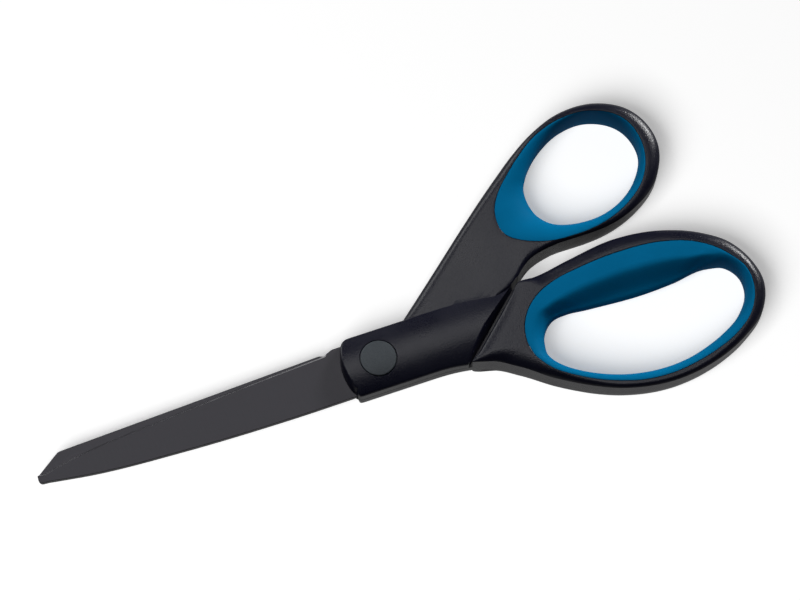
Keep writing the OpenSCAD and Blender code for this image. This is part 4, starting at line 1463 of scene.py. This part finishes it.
@dataclass
class Studio:
    """Camera, lamps, world and floor."""

    tilt: float = 18.0
    yaw: float = 21.0
    lens: float = 160.0
    sensor: float = 36.0
    place: tuple[float, float, float] = (-99.117, -275.125, 962.839)
    floor_half: float = 3.0
    floor_under: float = 2e-5

    def axes(self) -> Matrix:
        """The camera's right, up and back directions as columns."""
        t, y = math.radians(self.tilt), math.radians(self.yaw)
        right = Vector((math.cos(y), -math.sin(y), 0))
        ahead = Vector((math.sin(y), math.cos(y), 0))
        up = ahead * math.cos(t) + Vector((0, 0, math.sin(t)))
        back = Vector((0, 0, math.cos(t))) - ahead * math.sin(t)
        return Matrix((right, up, back)).transposed()

    def camera(self) -> bpy.types.Object:
        """The camera at the photograph's angle."""
        data = bpy.data.cameras.new("camera")
        data.lens, data.sensor_width, data.sensor_fit = self.lens, self.sensor, "AUTO"
        data.clip_start, data.clip_end = 0.05, 20
        made = new_object("camera", data)
        made.matrix_world = Matrix.Translation(Vector(self.place) * MM) @ self.axes().to_4x4()
        bpy.context.scene.camera = made
        return made

    @staticmethod
    def lamp(name: str, at: Sequence[float], size: tuple[float, float], power: float,
             receivers: bpy.types.Collection) -> None:
        """A soft lamp.

        Args:
            name: its name.
            at: its place in metres; it is aimed at the middle.
            size: width and height in metres.
            power: watts.
            receivers: what it lights.
        """
        data = bpy.data.lights.new(name, "AREA")
        data.shape, data.size, data.size_y = "RECTANGLE", size[0], size[1]
        data.energy = power
        made = new_object(name, data)
        aim = (-Vector(at)).to_track_quat("-Z", "Y").to_matrix().to_4x4()
        made.matrix_world = Matrix.Translation(Vector(at)) @ aim
        made.light_linking.receiver_collection = receivers

    def lamps(self, floor: bpy.types.Object) -> None:
        """A soft box overhead and two beside it for the object, and one from the lower left for the floor.

        Args:
            floor: the floor, which only the last lamp lights, so that its shadows fall one way.
        """
        paper, rest = bpy.data.collections.new("lit_paper"), bpy.data.collections.new("all_but_paper")
        for group in (paper, rest):
            group.objects.link(floor)
        rest.collection_objects[0].light_linking.link_state = "EXCLUDE"
        self.lamp("overhead", (-0.06, 0.42, 1.55), (1.15, 0.95), 11.6, rest)
        self.lamp("back_box", (-0.58, 1.32, 0.66), (1.0, 0.75), 13.0, rest)
        self.lamp("right_box", (1.24, 0.69, 0.48), (0.36, 0.28), 25.0, rest)
        self.lamp("floor_box", (-1.19, -0.80, 1.55), (1.4, 1.4), 50.0, paper)

    @staticmethod
    def world() -> None:
        """Even dim light, white where the camera looks past the floor."""
        world = bpy.data.worlds.new("studio")
        world.use_nodes = True
        bpy.context.scene.world = world
        tree = Tree(world.node_tree)
        camera_ray = tree.add("ShaderNodeLightPath").outputs["Is Camera Ray"]
        back = world.node_tree.nodes["Background"].inputs
        tree.feed(back["Color"], (1, 1, 1, 1))
        tree.feed(back["Strength"], tree.remap(camera_ray, 0, 1, 0.03, 1.0))

    def floor(self) -> bpy.types.Object:
        """A pale floor that keeps the shadow: its own diffuse light, and the rest up to white for the eye."""
        h, z = self.floor_half, -self.floor_under
        mesh = bpy.data.meshes.new("floor")
        mesh.from_pydata([(-h, -h, z), (h, -h, z), (h, h, z), (-h, h, z)], [], [(0, 1, 2, 3)])
        made = new_object("floor", mesh)
        paint = bpy.data.materials.new("floor_paper")
        paint.use_nodes = True
        tree = Tree(paint.node_tree)
        place = tree.add("ShaderNodeTexCoord").outputs["Object"]
        path = tree.add("ShaderNodeLightPath").outputs
        paper = tree.math("ADD", tree.math("MULTIPLY", tree.noise(place, 4.0), 0.03), 0.8)
        mirrored = tree.math("MAXIMUM", path["Is Glossy Ray"], path["Is Transmission Ray"])
        kept = tree.math("SUBTRACT", 1.0, tree.math("MULTIPLY", mirrored, 0.45))
        seen = tree.math("MAXIMUM", path["Is Camera Ray"], mirrored)
        glow = tree.math("ADD", tree.math("MULTIPLY", path["Is Camera Ray"], 0.3), 0.12)
        shader = {"Base Color": tree.math("MULTIPLY", paper, kept), "Roughness": 0.9,
                  "Specular IOR Level": 0.1, "Emission Color": (1, 1, 1, 1),
                  "Emission Strength": tree.math("MULTIPLY", seen, glow)}
        for key, value in shader.items():
            tree.feed(paint.node_tree.nodes["Principled BSDF"].inputs[key], value)
        made.data.materials.append(paint)
        return made


# ---- the photograph's points ----

FRAME = (800, 600)


@dataclass(frozen=True)
class ImagePoint:
    """A place in the photograph, in pixels, and what shows there.

    Attributes:
        x, y: the place; None where only the other one counts.
        piece: the piece whose finished vertices tell where the thing shows, or "" for all of them.
        side: the direction in the picture in which the thing lies furthest, right and down positive, or None
            for the middle of what shows.
        hole: whether the side is that of the opening in the piece instead of its outside.
    """

    x: float | None
    y: float | None
    piece: str = ""
    side: tuple[float, float] | None = None
    hole: bool = False


LEFT, RIGHT, UP, DOWN = (-1.0, 0.0), (1.0, 0.0), (0.0, -1.0), (0.0, 1.0)
IMAGE_POINTS: dict[str, ImagePoint] = {
    "left_end": ImagePoint(39.5, None, side=LEFT),
    "right_end": ImagePoint(765.0, None, side=RIGHT),
    "top_edge": ImagePoint(None, 102.5, side=UP),
    "bottom_edge": ImagePoint(None, 484.0, side=DOWN),
    "cap_centre": ImagePoint(378.6, 357.2, "upper_cap_disc"),
    "slit_low_end": ImagePoint(470.0, 369.0, "thumb_handle_moulding", (0.5, 1.0)),
    "crotch": ImagePoint(517.5, 283.5, "finger_handle_moulding", (-0.6, -1.0)),
    "barrel_front": ImagePoint(341.5, None, "thumb_handle_moulding", LEFT),
    "barrel_low_corner": ImagePoint(363.0, 401.5, "finger_handle_moulding", DOWN),
    "thumb_bow_right": ImagePoint(658.5, None, "thumb_handle_moulding", RIGHT),
    "thumb_hole_left": ImagePoint(523.2, None, "thumb_lining_roll", LEFT, True),
    "thumb_hole_right": ImagePoint(637.4, None, "thumb_lining_roll", RIGHT, True),
    "thumb_hole_top": ImagePoint(None, 122.4, "thumb_lining_roll", UP, True),
    "thumb_hole_bottom": ImagePoint(None, 224.2, "thumb_lining_roll", DOWN, True),
    "finger_hole_left": ImagePoint(544.0, None, "finger_lining_roll", LEFT, True),
    "finger_hole_right": ImagePoint(744.0, None, "finger_lining_roll", RIGHT, True),
    "finger_hole_top": ImagePoint(None, 267.5, "finger_lining_roll", UP, True),
    "finger_hole_bottom": ImagePoint(None, 373.8, "finger_lining_roll", DOWN, True),
    "slanted_tip_corner": ImagePoint(60.5, 453.0, "lower_blade_ground", (-0.6, -1.0)),
}


class Sight:
    """The camera's view of the finished pieces, in the photograph's pixels.

    Attributes:
        near: length in metres by which a ray stops short of the place that it looks for.
        hole_bins: sectors round an opening's middle.
    """

    near: float = 4e-5
    hole_bins: int = 360

    def __init__(self, camera: bpy.types.Object, pieces: Iterable[bpy.types.Object]) -> None:
        """Take the finished meshes of the pieces, which all sit at the origin, unturned.

        Args:
            camera: the scene's camera.
            pieces: the pieces as they are placed and finished.
        """
        data, long = camera.data, max(FRAME)
        self.eye = camera.matrix_world.translation.copy()
        self.axes = camera.matrix_world.to_3x3()
        self.middle = (FRAME[0] / 2 - data.shift_x * long, FRAME[1] / 2 + data.shift_y * long)
        self.reach = long * data.lens / data.sensor_width
        graph = bpy.context.evaluated_depsgraph_get()
        self.trees = {piece.name: BVHTree.FromObject(piece, graph) for piece in pieces}
        self.vertices = {piece.name: self.places(piece.evaluated_get(graph).data) for piece in pieces}

    @staticmethod
    def places(mesh: bpy.types.Mesh) -> Array:
        """The vertices of a mesh as rows."""
        flat = np.empty(3 * len(mesh.vertices))
        mesh.vertices.foreach_get("co", flat)
        return flat.reshape(-1, 3)

    def ray(self, x: float, y: float) -> Vector:
        """The direction from the camera through a point of the photograph."""
        return (self.axes @ Vector((x - self.middle[0], self.middle[1] - y, -self.reach))).normalized()

    def place(self, x: float, y: float, carrier: str) -> Vector:
        """The place on a piece that shows at a point; after a miss, the piece's place nearest the ray."""
        along = self.ray(x, y)
        hit = self.trees[carrier].ray_cast(self.eye, along)[0]
        if hit is not None:
            return hit
        off, line = self.vertices[carrier] - np.array(self.eye), np.array(along)
        gaps = np.linalg.norm(off - np.outer(off @ line, line), axis=1)
        return Vector(self.vertices[carrier][int(np.argmin(gaps))])

    def pixels(self, places: Array) -> Array:
        """Where places show in the photograph, as rows of x and y."""
        local = (np.atleast_2d(places) - np.array(self.eye)) @ np.array(self.axes)
        scale = self.reach / -local[:, 2]
        return np.stack([self.middle[0] + local[:, 0] * scale, self.middle[1] - local[:, 1] * scale], 1)

    def shows(self, place: Array) -> bool:
        """Whether nothing lies between the camera and a place."""
        sight = Vector(place) - self.eye
        far, along = sight.length - self.near, sight.normalized()
        return all(tree.ray_cast(self.eye, along, far)[0] is None for tree in self.trees.values())

    def furthest(self, name: str, side: tuple[float, float]) -> Array:
        """The pixel of the vertex that shows furthest to a side, of one piece or, for "", of all."""
        places = self.vertices[name] if name else np.concatenate(list(self.vertices.values()))
        pixels = self.pixels(places)
        order = np.argsort(-(pixels @ np.array(side)))
        return pixels[next((i for i in order if self.shows(places[i])), order[0])]

    def hole_side(self, name: str, side: tuple[float, float]) -> Array:
        """The pixel furthest to a side on the edge of a piece's opening.

        Each sector around the opening's middle keeps its innermost vertex: r_k = min r for angle in bin k.
        """
        pixels = self.pixels(self.vertices[name])
        off = pixels - pixels.mean(0)
        angle = np.floor((np.arctan2(off[:, 1], off[:, 0]) / (2 * np.pi) + 0.5) * self.hole_bins).astype(int)
        order = np.lexsort((np.hypot(off[:, 0], off[:, 1]), angle))
        inner = pixels[order[np.unique(angle[order], return_index=True)[1]]]
        return inner[int(np.argmax(inner @ np.array(side)))]

    def shown(self, point: ImagePoint) -> Array:
        """Where the thing of an image point shows in the render."""
        if point.side is None:
            edges = [self.furthest(point.piece, side) for side in (LEFT, RIGHT, UP, DOWN)]
            return np.array([(edges[0][0] + edges[1][0]) / 2, (edges[2][1] + edges[3][1]) / 2])
        measure = self.hole_side if point.hole else self.furthest
        return measure(point.piece, point.side)

    def report(self) -> dict[str, list[float | None]]:
        """How far each thing shows from its image point, in x and y."""
        return {name: [None if want is None else round(float(got - want), 2)
                       for got, want in zip(self.shown(point), (point.x, point.y))]
                for name, point in IMAGE_POINTS.items()}


def main() -> None:
    """Build the scissors and the studio, and log where the image points lie and how far off they show."""
    logging.basicConfig(level=logging.INFO, format="%(message)s")
    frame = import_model()
    studio = Studio()
    camera = studio.camera()
    shop, layout = Workshop(), Layout()
    pieces = FingerHalf(shop, layout).build() + ThumbHalf(shop, layout).build()
    shop.dress_hardware(frame["nodes"])
    studio.lamps(studio.floor())
    studio.world()
    bpy.context.scene.view_settings.view_transform = "Standard"
    bpy.context.view_layer.update()
    sight = Sight(camera, pieces)
    for name, point in IMAGE_POINTS.items():
        if point.x is not None and point.y is not None:
            LOG.info("%s lies at %s m", name, sight.place(point.x, point.y, point.piece))
    off = sight.report()
    LOG.info("%d pieces, image points off by %s", len(pieces), off)


if __name__ == "__main__":
    main()
